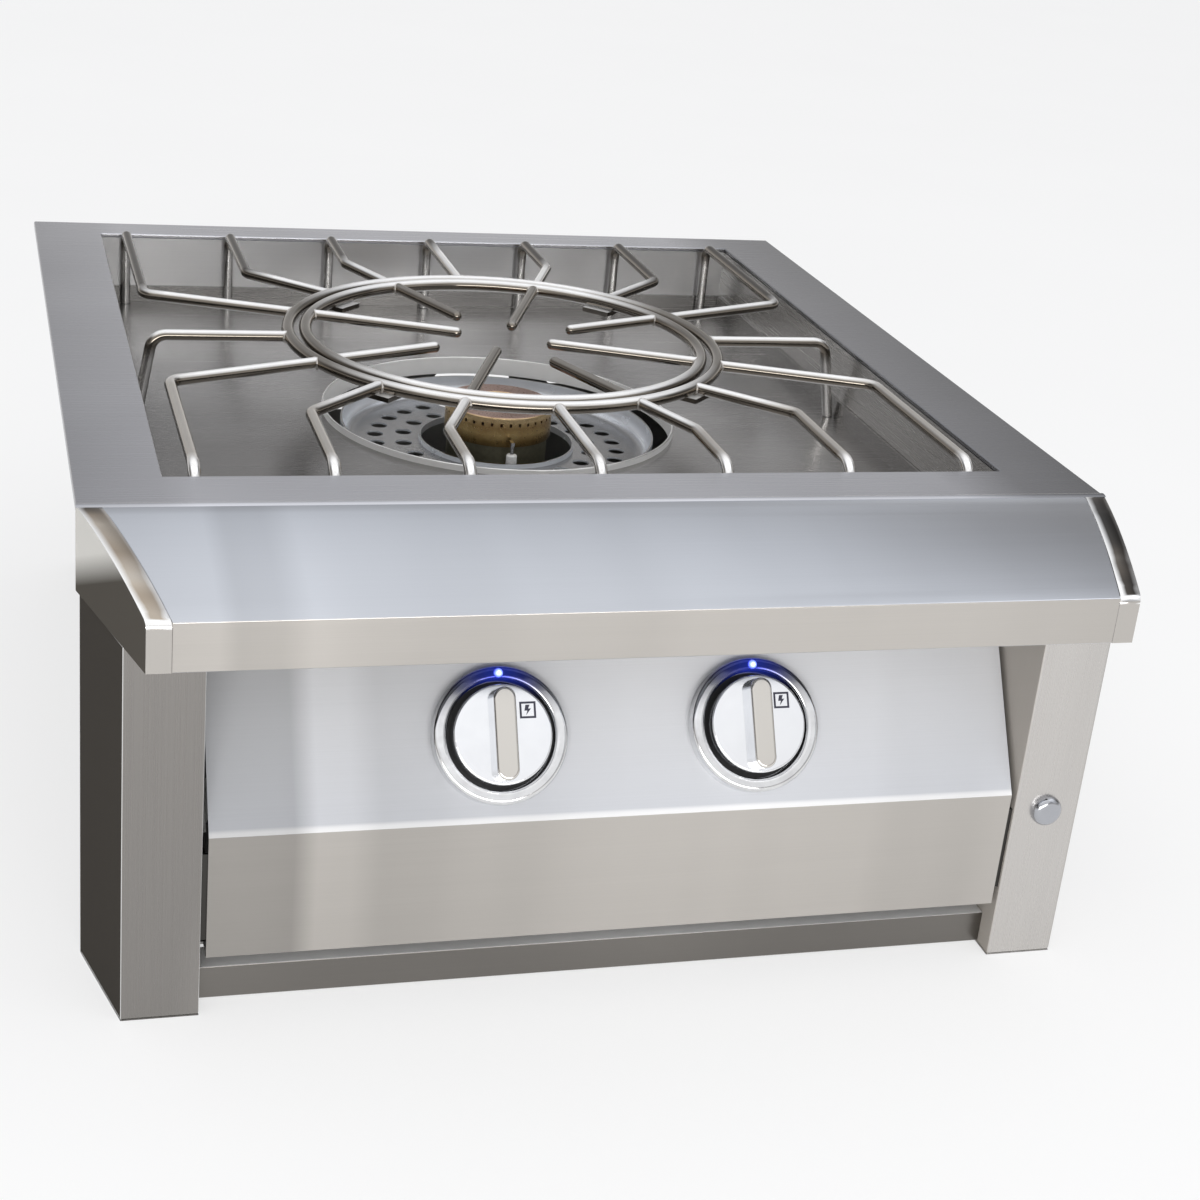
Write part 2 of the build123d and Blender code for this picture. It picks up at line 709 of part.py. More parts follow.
# Nose panel: a bent sheet with a gentle crown, between the two end pieces
rear_half = rim_width / 2
front_half = rear_half - nose_taper
with BuildPart() as nose_panel:
    with BuildSketch(Plane.YZ):
        rear_top, crown_top, front_top = nose_outline(0)
        rear_low, crown_low, front_low = nose_outline(sheet)
        with BuildLine():
            ThreePointArc(rear_top, crown_top, front_top)
            Polyline(
                front_top,
                (nose_front_y, nose_bottom),
                (nose_front_y + nose_return, nose_bottom),
                (nose_front_y + nose_return, nose_bottom + sheet),
                (nose_front_y + sheet, nose_bottom + sheet),
                front_low,
            )
            ThreePointArc(front_low, crown_low, rear_low)
            Line(rear_low, rear_top)
        make_face()
    extrude(amount=rim_width / 2, both=True)
    with BuildSketch(Plane.XY.offset(nose_bottom)):
        Polygon(
            (nose_end_width - rear_half, crease_y),
            (rear_half - nose_end_width, crease_y),
            (front_half - nose_end_width, nose_front_y),
            (nose_end_width - front_half, nose_front_y),
            align=None,
        )
    extrude(amount=rim_height - nose_bottom, mode=Mode.INTERSECT)
finish(nose_panel, "nose_panel")

# Polished end pieces that close the nose
for side, sign in hand:
    with BuildPart() as nose_end:
        with BuildSketch(Plane.YZ):
            rear_top, crown_top, front_top = nose_outline(0)
            with BuildLine():
                ThreePointArc(rear_top, crown_top, front_top)
                Polyline(front_top, (nose_front_y, nose_bottom), (crease_y, nose_bottom), rear_top)
            make_face()
        extrude(amount=rim_width / 2, both=True)
        with BuildSketch(Plane.XY.offset(nose_bottom)):
            Polygon(
                (sign * (rear_half - nose_end_width), crease_y),
                (sign * rear_half, crease_y),
                (sign * front_half, nose_front_y),
                (sign * (front_half - nose_end_width), nose_front_y),
                align=None,
            )
        extrude(amount=rim_height - nose_bottom, mode=Mode.INTERSECT)
        fillet(nose_end.edges().group_by(Axis.Y)[0].group_by(Axis.Z)[-1], nose_end_round)
    finish(nose_end, f"nose_end_{side}")

# Housing sides: a wall under the rim with a front flange behind the posts
screw_y = housing_rear_y - sheet - screw_reach
screw_middle = rim_under / 2
screw_heights = [screw_middle + screw_pitch * (i - (screw_count - 1) / 2) for i in range(screw_count)]
for side, sign in hand:
    with BuildPart() as housing_side:
        wall_x = (sign * (housing_half - sheet), sign * housing_half)
        block(wall_x, (crease_y, housing_rear_y), (0, rim_under))
        flange_x = (sign * (housing_half - sheet), sign * side_rear_x)
        block(flange_x, (crease_y, crease_y + sheet), (0, rim_under))
        for height in screw_heights:
            with Locations(Plane((sign * housing_half, screw_y, height), x_dir=(0, 1, 0), z_dir=(1, 0, 0))):
                Cylinder(screw_radius + running_gap, 4 * sheet, mode=Mode.SUBTRACT)
    finish(housing_side, f"housing_side_{side}")

# Housing rear wall, flanged against the sides, with vent slots and the inlet's hole
with BuildPart() as housing_rear:
    rear_half_x = housing_half - sheet
    block((-rear_half_x, rear_half_x), (housing_rear_y - sheet, housing_rear_y), (0, rim_under))
    for side, sign in hand:
        flange_x = (sign * (rear_half_x - sheet), sign * rear_half_x)
        block(flange_x, (housing_rear_y - housing_flange, housing_rear_y), (sheet, rim_under))
        for height in screw_heights:
            with Locations(Plane((sign * rear_half_x, screw_y, height), x_dir=(0, 1, 0), z_dir=(1, 0, 0))):
                Cylinder(screw_radius + running_gap, 4 * sheet, mode=Mode.SUBTRACT)
    rear_plane = Plane(origin=(0, housing_rear_y, 0), x_dir=(-1, 0, 0), z_dir=(0, 1, 0))
    with BuildSketch(rear_plane):
        with Locations((0, vent_mid_height)):
            with GridLocations(vent_pitch_x, vent_pitch_z, vent_columns, vent_rows):
                SlotOverall(vent_length, vent_height)
        with Locations((-supply_x, supply_height)):
            Circle(inlet_thread_radius + seat_gap)
    extrude(amount=-sheet, mode=Mode.SUBTRACT)
finish(housing_rear, "housing_rear")

# Housing bottom, on which the unit stands
with BuildPart() as housing_bottom:
    bottom_half = housing_half - sheet
    block((-bottom_half, bottom_half), (crease_y, housing_rear_y - sheet), (0, sheet))
finish(housing_bottom, "housing_bottom")

# Screws that hold the sides to the rear wall
with BuildPart() as housing_screws:
    for side, sign in hand:
        for height in screw_heights:
            face = Plane(origin=(sign * housing_half, screw_y, height), x_dir=(0, 1, 0), z_dir=(sign, 0, 0))
            with BuildSketch(face):
                Circle(screw_head_radius)
            extrude(amount=screw_head_height)
            with BuildSketch(face):
                Circle(screw_radius)
            extrude(amount=-screw_reach)
finish(housing_screws, "housing_screws")

# Bezels on the panel, each with a pilot light at its top, and the knobs inside them
led_y = (bezel_outer + bezel_inner) / 2
led_top = bezel_height + led_rise
for side, x in knob_sides:
    with BuildPart() as bezel:
        knob_disc(x, bezel_outer, 0, bezel_height)
        knob_disc(x, bezel_inner, 0, bezel_height, Mode.SUBTRACT)
        fillet(bezel.edges().group_by(knob_axis)[-1], bezel_edge)
        knob_disc(x, led_radius + running_gap, 0, led_top, Mode.SUBTRACT, led_y)
    finish(bezel, f"bezel_{side}")

    with BuildPart() as led:
        knob_disc(x, led_radius, 0, led_top, Mode.ADD, led_y)
        fillet(led.edges().group_by(knob_axis)[-1], led_round)
    finish(led, f"led_{side}")

    with BuildPart() as knob:
        knob_disc(x, knob_radius, knob_low, knob_skirt_high)
        fillet(knob.edges().group_by(knob_axis)[-1], knob_edge)
        with BuildSketch(knob_plane.offset(knob_skirt_high)):
            with Locations((x, 0)):
                SlotOverall(2 * (knob_radius - knob_bar_inset), knob_bar_width, rotation=90)
        extrude(amount=knob_bar_height)
        fillet(knob.edges().group_by(knob_axis)[-1], knob_bar_round)
        knob_key(x, stem_radius, stem_flat, knob_low, knob_low + knob_socket_depth, Mode.SUBTRACT)
    finish(knob, f"knob_{side}")

# Grate ring
with BuildPart() as grate_ring:
    with Locations((0, burner_y, ring_z)):
        Torus(grate_ring_radius, ring_rod_radius)
finish(grate_ring, "grate_ring")

# Grate rods: each stands on the floor, runs level, then turns towards the middle and meets the ring
wall_clear = pan_gap + sheet + rod_wall_gap + rod_radius
leg_x = opening_half - wall_clear
side_rod_shoulder = leg_x - side_leg_splay
for side, sign, leg_y in (("front", -1, opening_front + wall_clear), ("rear", 1, opening_rear - wall_clear)):
    with BuildPart() as grate_rods:
        for i in range(-rod_rows, rod_rows + 1):
            angle = radians(i * rod_step)
            x = i * rod_pitch
            foot = (x, leg_y, foot_z)
            shoulder = (x, leg_y, ring_z)
            ring_end_y = burner_y + sign * grate_ring_radius * cos(angle)
            ring_end = (grate_ring_radius * sin(angle), ring_end_y, ring_z)
            with BuildLine() as route:
                if i == 0:
                    FilletPolyline(foot, shoulder, ring_end, radius=rod_bend)
                else:
                    turn = (x, burner_y + sign * x / tan(angle), ring_z)
                    FilletPolyline(foot, shoulder, turn, ring_end, radius=rod_bend)
            with BuildSketch(Plane(origin=route.line @ 0, z_dir=route.line % 0)):
                Circle(rod_radius)
            sweep(path=route.line)
        with Locations((0, burner_y, ring_z)):
            Torus(grate_ring_radius, ring_rod_radius, mode=Mode.SUBTRACT)
    finish(grate_rods, f"grate_rods_{side}")

# Side rods, whose legs splay out to the tub walls
with BuildPart() as grate_rods_side:
    leg_lean = (leg_x - side_rod_shoulder) / (ring_z - foot_z)
    leg_low = foot_z - rod_radius
    leg_low_x = side_rod_shoulder + leg_lean * (ring_z - leg_low)
    for side, sign in hand:
        with BuildLine() as route:
            FilletPolyline(
                (sign * grate_ring_radius, burner_y, ring_z),
                (sign * side_rod_shoulder, burner_y, ring_z),
                (sign * leg_low_x, burner_y, leg_low),
                radius=rod_bend,
            )
        with BuildSketch(Plane(origin=route.line @ 0, z_dir=route.line % 0)):
            Circle(rod_radius)
        sweep(path=route.line)
    below_feet = (leg_low - 2 * rod_radius, foot_z)
    block((-rim_width / 2, rim_width / 2), (opening_front, opening_rear), below_feet, Mode.SUBTRACT)
    with Locations((0, burner_y, ring_z)):
        Torus(grate_ring_radius, ring_rod_radius, mode=Mode.SUBTRACT)
finish(grate_rods_side, "grate_rods_side")

# Tabs under the grate ring that carry the wok ring
with BuildPart() as ring_tabs:
    tab_start = wok_ring_radius - ring_rod_radius - tab_margin
    tab_end = grate_ring_radius + ring_rod_radius + tab_margin
    with Locations((0, burner_y, tab_top)):
        with PolarLocations((tab_start + tab_end) / 2, tab_count, start_angle=180 / tab_count):
            Box(tab_end - tab_start, tab_width, tab_thick, align=(Align.CENTER, Align.CENTER, Align.MAX))
finish(ring_tabs, "ring_tabs")

# Wok ring, resting on the tabs, with fingers that reach in over the burner
wok_z = tab_top + seat_gap + ring_rod_radius
with BuildPart() as wok_ring:
    with Locations((0, burner_y, wok_z)):
        Torus(wok_ring_radius, ring_rod_radius)
finish(wok_ring, "wok_ring")

with BuildPart() as wok_fingers:
    for start, tip in ((finger_angle, finger_short_tip), (3 * finger_angle, finger_long_tip)):
        tip_centre = tip + finger_radius
        finger_run = wok_ring_radius - tip_centre
        with Locations((0, burner_y, wok_z)):
            with PolarLocations(tip_centre + finger_run / 2, finger_pairs, start_angle=start):
                Cylinder(finger_radius, finger_run, rotation=(0, 90, 0))
            with PolarLocations(tip_centre, finger_pairs, start_angle=start):
                Sphere(finger_radius)
    with Locations((0, burner_y, wok_z)):
        Torus(wok_ring_radius, ring_rod_radius, mode=Mode.SUBTRACT)
finish(wok_fingers, "wok_fingers")
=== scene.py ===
"""Looks of the built-in gas burner: steel, brass, welds and knob marks, with floor, light and camera."""
import json
from functools import partial
from math import cos, pi, radians, sin, sqrt

import bmesh
import bpy
from mathutils import Matrix, Vector


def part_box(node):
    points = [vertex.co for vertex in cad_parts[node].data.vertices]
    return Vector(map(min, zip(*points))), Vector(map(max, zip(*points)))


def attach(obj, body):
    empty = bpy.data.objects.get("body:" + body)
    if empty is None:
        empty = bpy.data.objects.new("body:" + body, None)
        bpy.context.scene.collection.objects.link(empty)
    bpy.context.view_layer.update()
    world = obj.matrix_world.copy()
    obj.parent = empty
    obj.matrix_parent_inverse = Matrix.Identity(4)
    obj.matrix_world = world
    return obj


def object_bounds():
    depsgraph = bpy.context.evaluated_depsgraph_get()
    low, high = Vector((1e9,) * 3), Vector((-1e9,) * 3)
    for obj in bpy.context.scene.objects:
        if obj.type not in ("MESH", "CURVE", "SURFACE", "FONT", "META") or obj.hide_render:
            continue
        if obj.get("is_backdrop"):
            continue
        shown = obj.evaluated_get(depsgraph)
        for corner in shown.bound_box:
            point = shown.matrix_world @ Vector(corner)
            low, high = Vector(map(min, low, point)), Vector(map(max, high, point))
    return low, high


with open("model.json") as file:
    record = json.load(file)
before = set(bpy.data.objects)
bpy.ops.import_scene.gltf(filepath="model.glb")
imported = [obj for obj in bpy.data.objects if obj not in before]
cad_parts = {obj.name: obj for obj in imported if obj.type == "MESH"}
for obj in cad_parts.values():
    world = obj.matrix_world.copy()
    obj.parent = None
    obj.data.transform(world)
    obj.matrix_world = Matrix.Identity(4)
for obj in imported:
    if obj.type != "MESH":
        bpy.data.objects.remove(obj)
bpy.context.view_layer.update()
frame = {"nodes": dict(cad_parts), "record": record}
nodes = frame["nodes"]
scene = bpy.context.scene
SIDES = ("left", "right")


# Colours

WHITE = (1.0, 1.0, 1.0)
BLACK = (0.0, 0.0, 0.0)


def grey(value):
    """A neutral tone."""
    return (value, value, value)


def scaled(colour, factor):
    """A colour made darker or paler, up to full."""
    return tuple(min(1.0, c * factor) for c in colour)


# Material helpers

# Most values of a noise lie between these two
NOISE_LOW = 0.3
NOISE_HIGH = 0.7


def start_material(name, metallic, roughness):
    """A new material with one Principled shader; returns the material, its node tree and the shader."""
    mat = bpy.data.materials.new(name)
    mat.use_nodes = True
    tree = mat.node_tree
    tree.nodes.clear()
    out = tree.nodes.new("ShaderNodeOutputMaterial")
    bsdf = tree.nodes.new("ShaderNodeBsdfPrincipled")
    tree.links.new(bsdf.outputs["BSDF"], out.inputs["Surface"])
    bsdf.inputs["Metallic"].default_value = metallic
    bsdf.inputs["Roughness"].default_value = roughness
    return mat, tree, bsdf


def noise(tree, scale, detail=3.0, rough=0.5, stretch=(1, 1, 1)):
    """A noise in the object's own metres, drawn out along an axis where its stretch value is small."""
    coord = tree.nodes.new("ShaderNodeTexCoord")
    mapping = tree.nodes.new("ShaderNodeMapping")
    mapping.inputs["Scale"].default_value = stretch
    tex = tree.nodes.new("ShaderNodeTexNoise")
    tex.inputs["Scale"].default_value = scale
    tex.inputs["Detail"].default_value = detail
    tex.inputs["Roughness"].default_value = rough
    tree.links.new(coord.outputs["Object"], mapping.inputs["Vector"])
    tree.links.new(mapping.outputs["Vector"], tex.inputs["Vector"])
    return tex.outputs["Fac"]


def ramp(tree, fac, stops):
    """A colour ramp with (position, colour) stops."""
    node = tree.nodes.new("ShaderNodeValToRGB")
    points = node.color_ramp.elements
    while len(points) < len(stops):
        points.new(0.5)
    for point, (position, colour) in zip(points, stops):
        point.position = position
        point.color = (*colour, 1.0)
    tree.links.new(fac, node.inputs["Fac"])
    return node.outputs["Color"]


def mottle(tree, fac, dark, pale):
    """A tone that a noise varies between two colours."""
    return ramp(tree, fac, ((NOISE_LOW, dark), (NOISE_HIGH, pale)))


def spread(tree, fac, low, high, start=NOISE_LOW, end=NOISE_HIGH):
    """Maps a number from start..end to low..high, held at the ends."""
    node = tree.nodes.new("ShaderNodeMapRange")
    node.inputs["From Min"].default_value = start
    node.inputs["From Max"].default_value = end
    node.inputs["To Min"].default_value = low
    node.inputs["To Max"].default_value = high
    tree.links.new(fac, node.inputs["Value"])
    return node.outputs["Result"]


def rise(tree, fac, start, end):
    """A number from 0 at start to 1 at end, held beyond them."""
    return spread(tree, fac, 0.0, 1.0, start, end)


def combine(tree, operation, first, second=None):
    """One math step on sockets or plain numbers."""
    node = tree.nodes.new("ShaderNodeMath")
    node.operation = operation
    for socket, value in zip(node.inputs, (first, second)):
        if isinstance(value, (int, float)):
            socket.default_value = value
        elif value is not None:
            tree.links.new(value, socket)
    return node.outputs["Value"]


def mix_colour(tree, fac, first, second, blend="MIX"):
    """Mixes two colours; fac is a number or a socket, and a colour is a tuple or a socket."""
    node = tree.nodes.new("ShaderNodeMix")
    node.data_type = "RGBA"
    node.blend_type = blend
    if isinstance(fac, float):
        node.inputs[0].default_value = fac
    else:
        tree.links.new(fac, node.inputs[0])
    for socket, colour in ((node.inputs[6], first), (node.inputs[7], second)):
        if isinstance(colour, tuple):
            socket.default_value = (*colour, 1.0)
        else:
            tree.links.new(colour, socket)
    return node.outputs[2]


def multiply(tree, first, second):
    """One colour times another."""
    return mix_colour(tree, 1.0, first, second, "MULTIPLY")


def bump(tree, bsdf, fac, strength, distance):
    """Bumps a shader's surface by a height."""
    node = tree.nodes.new("ShaderNodeBump")
    node.inputs["Strength"].default_value = strength
    node.inputs["Distance"].default_value = distance
    tree.links.new(fac, node.inputs["Height"])
    tree.links.new(node.outputs["Normal"], bsdf.inputs["Normal"])


def facing(tree, axis):
    """How far a surface faces along one of the object's axes, from 0 to 1, either way."""
    coord = tree.nodes.new("ShaderNodeTexCoord")
    split = tree.nodes.new("ShaderNodeSeparateXYZ")
    tree.links.new(coord.outputs["Normal"], split.inputs["Vector"])
    return combine(tree, "ABSOLUTE", split.outputs[axis])


def faced(tree, base, turned):
    """A tone, and over it in turn the tones of faces that look along an axis: (axis, start, end, colour).

    A colour may also be a function that makes its tone in the tree.
    """
    for axis, start, end, colour in turned:
        tone = colour(tree) if callable(colour) else colour
        base = mix_colour(tree, rise(tree, facing(tree, axis), start, end), base, tone)
    return base


def matte_where(tree, bsdf, matte):
    """Takes the metal shine off faces that look along an axis: (axis, start, end, metal left)."""
    axis, start, end, left = matte
    tree.links.new(spread(tree, facing(tree, axis), 1.0, left, start, end), bsdf.inputs["Metallic"])
    bsdf.inputs["Specular IOR Level"].default_value = 0.0


def place(tree, axis):
    """Where a point is along one of the object's axes, in metres."""
    coord = tree.nodes.new("ShaderNodeTexCoord")
    split = tree.nodes.new("ShaderNodeSeparateXYZ")
    tree.links.new(coord.outputs["Object"], split.inputs["Vector"])
    return split.outputs[axis]


def across_x(tree, bands):
    """Greys at places in x, given in metres from left to right."""
    first, last = bands[0][0], bands[-1][0]
    along = rise(tree, place(tree, "X"), first, last)
    return ramp(tree, along, [((x - first) / (last - first), grey(tone)) for x, tone in bands])


# Brushed sheet

LINE_LONG = 5
LINE_FINE = 2200
GRAIN = {
    "x": (LINE_LONG, LINE_FINE, LINE_FINE),
    "y": (LINE_FINE, LINE_LONG, LINE_FINE),
    "z": (LINE_FINE, LINE_FINE, LINE_LONG),
}
LINE_ROUGH = 0.6
LINE_DARK = 0.965
LINE_GLOSS = 0.02
LINE_BUMP = 0.004
LINE_DEPTH = 0.0004
CLOUD_SCALE = 6.0
CLOUD_DETAIL = 1.5
CLOUD_FROM = 0.36
CLOUD_TO = 0.62


def brushed(name, colour, roughness, grain, clouds=0.12, cloud_stretch=(1, 1, 1), turned=(), matte=None,
            bands=None):
    """Brushed sheet: fine lines along one axis and broad soft tones.

    turned gives the tones of turned faces, matte the faces with less shine, bands the greys of painted shade
    and reflections at places in x.
    """
    mat, tree, bsdf = start_material(name, 1.0, roughness)
    lines = noise(tree, 1.0, rough=LINE_ROUGH, stretch=GRAIN[grain])
    cloud = noise(tree, CLOUD_SCALE, CLOUD_DETAIL, stretch=cloud_stretch)
    fine = mottle(tree, lines, grey(LINE_DARK), WHITE)
    broad = ramp(tree, cloud, ((CLOUD_FROM, grey(1 - clouds)), (CLOUD_TO, WHITE)))
    base = multiply(tree, faced(tree, colour, turned), multiply(tree, fine, broad))
    if bands:
        base = multiply(tree, base, across_x(tree, bands))
    tree.links.new(base, bsdf.inputs["Base Color"])
    if matte:
        matte_where(tree, bsdf, matte)
    gloss = spread(tree, lines, roughness - LINE_GLOSS, roughness + LINE_GLOSS)
    tree.links.new(gloss, bsdf.inputs["Roughness"])
    bump(tree, bsdf, lines, LINE_BUMP, LINE_DEPTH)
    return mat


# Polished metal

HAZE_SCALE = 60.0
HAZE_DARK = 0.94
HAZE_SMOOTHER = 0.02
HAZE_ROUGHER = 0.04
SCRATCH_SCALE = 900.0
SCRATCH_DETAIL = 2.0
SCRATCH_BUMP = 0.010
SCRATCH_DEPTH = 0.0002


def scratch(tree, bsdf):
    """Fine scratches in a polished surface."""
    bump(tree, bsdf, noise(tree, SCRATCH_SCALE, SCRATCH_DETAIL), SCRATCH_BUMP, SCRATCH_DEPTH)


def polished(name, colour, roughness, turned=(), matte=None):
    """Polished metal: faint haze and fine scratches; turned and matte are as for brushed sheet."""
    mat, tree, bsdf = start_material(name, 1.0, roughness)
    haze = noise(tree, HAZE_SCALE)
    tone = multiply(tree, faced(tree, colour, turned), mottle(tree, haze, grey(HAZE_DARK), WHITE))
    tree.links.new(tone, bsdf.inputs["Base Color"])
    if matte:
        matte_where(tree, bsdf, matte)
    gloss = spread(tree, haze, roughness - HAZE_SMOOTHER, roughness + HAZE_ROUGHER)
    tree.links.new(gloss, bsdf.inputs["Roughness"])
    scratch(tree, bsdf)
    return mat


# Polished ends of the nose

WARM = (0.525, 0.500, 0.470)
# Painted highlight laid on folds, rounded edges and the rail's top face
FOLD_HIGHLIGHT = (0.900, 0.895, 0.885)
# Painted shade on the sides of the nose ends: dark at the front and low down, paler to the back and top
CHEEK_SHADE = (0.085, 0.078, 0.068)
CHEEK_LIGHT = (0.62, 0.61, 0.58)
CHEEK_FROM = 1.05
CHEEK_TO = 1.40
CHEEK_TURN = ("X", 0.80, 0.93)
BAR_STRETCH = (4, 24, 8)
BAR_HAZE_SCALE = 80.0
BAR_SMOOTH = 0.08
BAR_ROUGH = 0.18
BAR_DETAIL = 1.5
BAR_BUMP = 0.010
BAR_DEPTH = 0.0004
# Painted reflections on the polished tops of the nose ends, pale on the left and dark on the right
LEFT_BAR_REFLECTIONS = (
    (0.30, (0.10, 0.085, 0.07)),
    (0.42, (0.36, 0.30, 0.235)),
    (0.60, (0.50, 0.445, 0.375)),
    (0.75, (0.60, 0.57, 0.53)),
)
RIGHT_BAR_REFLECTIONS = (
    (0.30, (0.025, 0.023, 0.02)),
    (0.50, (0.06, 0.053, 0.046)),
    (0.66, (0.11, 0.095, 0.08)),
    (0.80, (0.30, 0.28, 0.255)),
)


def mirror_bar(name, node, stops):
    """Polished nose end: soft bands of painted reflection on top, painted highlights on its folds, a plain
    front and a side whose painted shade darkens forward.
    """
    mat, tree, bsdf = start_material(name, 1.0, 0.12)
    low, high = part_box(node)
    back = rise(tree, place(tree, "Y"), low.y, high.y)
    height = rise(tree, place(tree, "Z"), low.z, high.z)
    pale = rise(tree, combine(tree, "ADD", back, height), CHEEK_FROM, CHEEK_TO)
    shaded_cheek = mix_colour(tree, pale, CHEEK_SHADE, CHEEK_LIGHT)
    bands = ramp(tree, noise(tree, 1.0, BAR_DETAIL, stretch=BAR_STRETCH), stops)
    # Painted highlights on the folds, the warm front, and the painted shade of the side
    folds = (("Y", 0.40, 0.55, FOLD_HIGHLIGHT), ("Y", 0.90, 0.97, WARM), ("X", 0.12, 0.25, FOLD_HIGHLIGHT))
    tree.links.new(faced(tree, bands, (*folds, (*CHEEK_TURN, shaded_cheek))), bsdf.inputs["Base Color"])
    matte_where(tree, bsdf, (*CHEEK_TURN, 0.0))
    haze = noise(tree, BAR_HAZE_SCALE)
    tree.links.new(spread(tree, haze, BAR_SMOOTH, BAR_ROUGH), bsdf.inputs["Roughness"])
    bump(tree, bsdf, haze, BAR_BUMP, BAR_DEPTH)
    return mat


# Rods of the grate and the wok ring

# Painted light on the rods: a highlight on top, shade on the sides, highlights on the legs and ends, and
# shade on the tops of runs and ring sides that go front to back
ROD_SIDE_SHADE = (0.23, 0.205, 0.175)
ROD_TOP_HIGHLIGHT = (0.94, 0.935, 0.93)
ROD_LEG_HIGHLIGHT = (0.90, 0.89, 0.88)
ROD_SMOOTH = 0.07
ROD_ROUGH = 0.13
ROD_MATTE = ("Z", 0.60, 0.95, 0.55)
LEG_FADE_FROM = 0.012
LEG_FADE_TO = 0.003
RUN_LEAN = 0.58
RUN_START = 0.205
RUN_END = 0.235
RING_SHADE_FROM = 0.080
RING_SHADE_TO = 0.125
FINGER_FADE = 0.020
END_FROM = 0.222
END_TO = 0.234


def from_ring(tree):
    """How far a point is beside and ahead of or behind the middle of the grate ring."""
    low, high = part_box("grate_ring")
    beside = combine(tree, "ABSOLUTE", place(tree, "X"))
    ahead = combine(tree, "ABSOLUTE", combine(tree, "SUBTRACT", place(tree, "Y"), (low.y + high.y) / 2))
    return beside, ahead


def on_runs(tree):
    """The level front-to-back runs of the grate's rods."""
    beside, ahead = from_ring(tree)
    reach = combine(tree, "ADD", ahead, combine(tree, "MULTIPLY", beside, RUN_LEAN))
    return rise(tree, reach, RUN_START, RUN_END)


def on_ring_sides(tree):
    """The left and right of a ring, where its rod runs front to back."""
    return rise(tree, from_ring(tree)[0], RING_SHADE_FROM, RING_SHADE_TO)


def on_long_fingers(tree):
    """The fingers that point more front to back than sideways."""
    beside, ahead = from_ring(tree)
    return rise(tree, combine(tree, "SUBTRACT", ahead, beside), -FINGER_FADE, FINGER_FADE)


def on_rod_ends(tree):
    """The ends of the rods, where they bend down into their legs."""
    return rise(tree, from_ring(tree)[1], END_FROM, END_TO)


def rod_metal(name, where, tone, ends=None):
    """Polished rod: a painted highlight on top, painted shade on its sides, painted highlights on its legs,
    and a top dulled by painted shade where it runs to the back.
    """
    mat, tree, bsdf = start_material(name, 1.0, 0.09)
    haze = noise(tree, HAZE_SCALE)
    top = mix_colour(tree, where(tree), ROD_TOP_HIGHLIGHT, tone)
    base = faced(tree, ROD_SIDE_SHADE, (("Z", 0.50, 0.85, top),))
    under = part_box("grate_ring")[0].z
    leg = spread(tree, place(tree, "Z"), 1.0, 0.0, under - LEG_FADE_FROM, under - LEG_FADE_TO)
    if ends:
        leg = combine(tree, "MAXIMUM", leg, ends(tree))
    base = mix_colour(tree, leg, base, ROD_LEG_HIGHLIGHT)
    wear = mottle(tree, haze, grey(HAZE_DARK), WHITE)
    tree.links.new(multiply(tree, base, wear), bsdf.inputs["Base Color"])
    matte_where(tree, bsdf, ROD_MATTE)
    tree.links.new(spread(tree, haze, ROD_SMOOTH, ROD_ROUGH), bsdf.inputs["Roughness"])
    scratch(tree, bsdf)
    return mat


# Cast and plain surfaces

SPECK_ROUGH = 0.6
SPECK_DARK = 0.85
SPECK_PALE = 1.1
SPECK_DEPTH = 0.0004
PATCH_SCALE = 40.0
PATCH_DARK = 0.86
PATCH_SMOOTHER = 0.06
PATCH_ROUGHER = 0.08


def cast(name, colour, roughness, metallic, grit=350.0, depth=0.25):
    """Plain or cast surface: speckled tone and a gritty bump."""
    mat, tree, bsdf = start_material(name, metallic, roughness)
    speck = noise(tree, grit, rough=SPECK_ROUGH)
    patch = noise(tree, PATCH_SCALE)
    fine = mottle(tree, speck, scaled(colour, SPECK_DARK), scaled(colour, SPECK_PALE))
    broad = mottle(tree, patch, grey(PATCH_DARK), WHITE)
    tree.links.new(multiply(tree, fine, broad), bsdf.inputs["Base Color"])
    gloss = spread(tree, patch, roughness - PATCH_SMOOTHER, roughness + PATCH_ROUGHER)
    tree.links.new(gloss, bsdf.inputs["Roughness"])
    bump(tree, bsdf, speck, depth, SPECK_DEPTH)
    return mat


# Brass of the burner

BRASS_BANDS = (
    (0.0, (0.16, 0.11, 0.045)),
    (0.15, (0.24, 0.16, 0.06)),
    (0.40, (0.58, 0.42, 0.19)),
    (0.62, (0.42, 0.28, 0.12)),
    (0.82, (0.62, 0.46, 0.24)),
    (1.0, (0.68, 0.53, 0.31)),
)
BRASS_BLOOM = (0.43, 0.295, 0.25)
BRASS_STAIN = (0.78, 0.72, 0.68)
STAIN_SCALE = 90.0
STAIN_DETAIL = 4.0
BRASS_GRIT = 600.0
BRASS_SMOOTH = 0.24
BRASS_ROUGH = 0.40
BRASS_BUMP = 0.06
BRASS_DEPTH = 0.0003


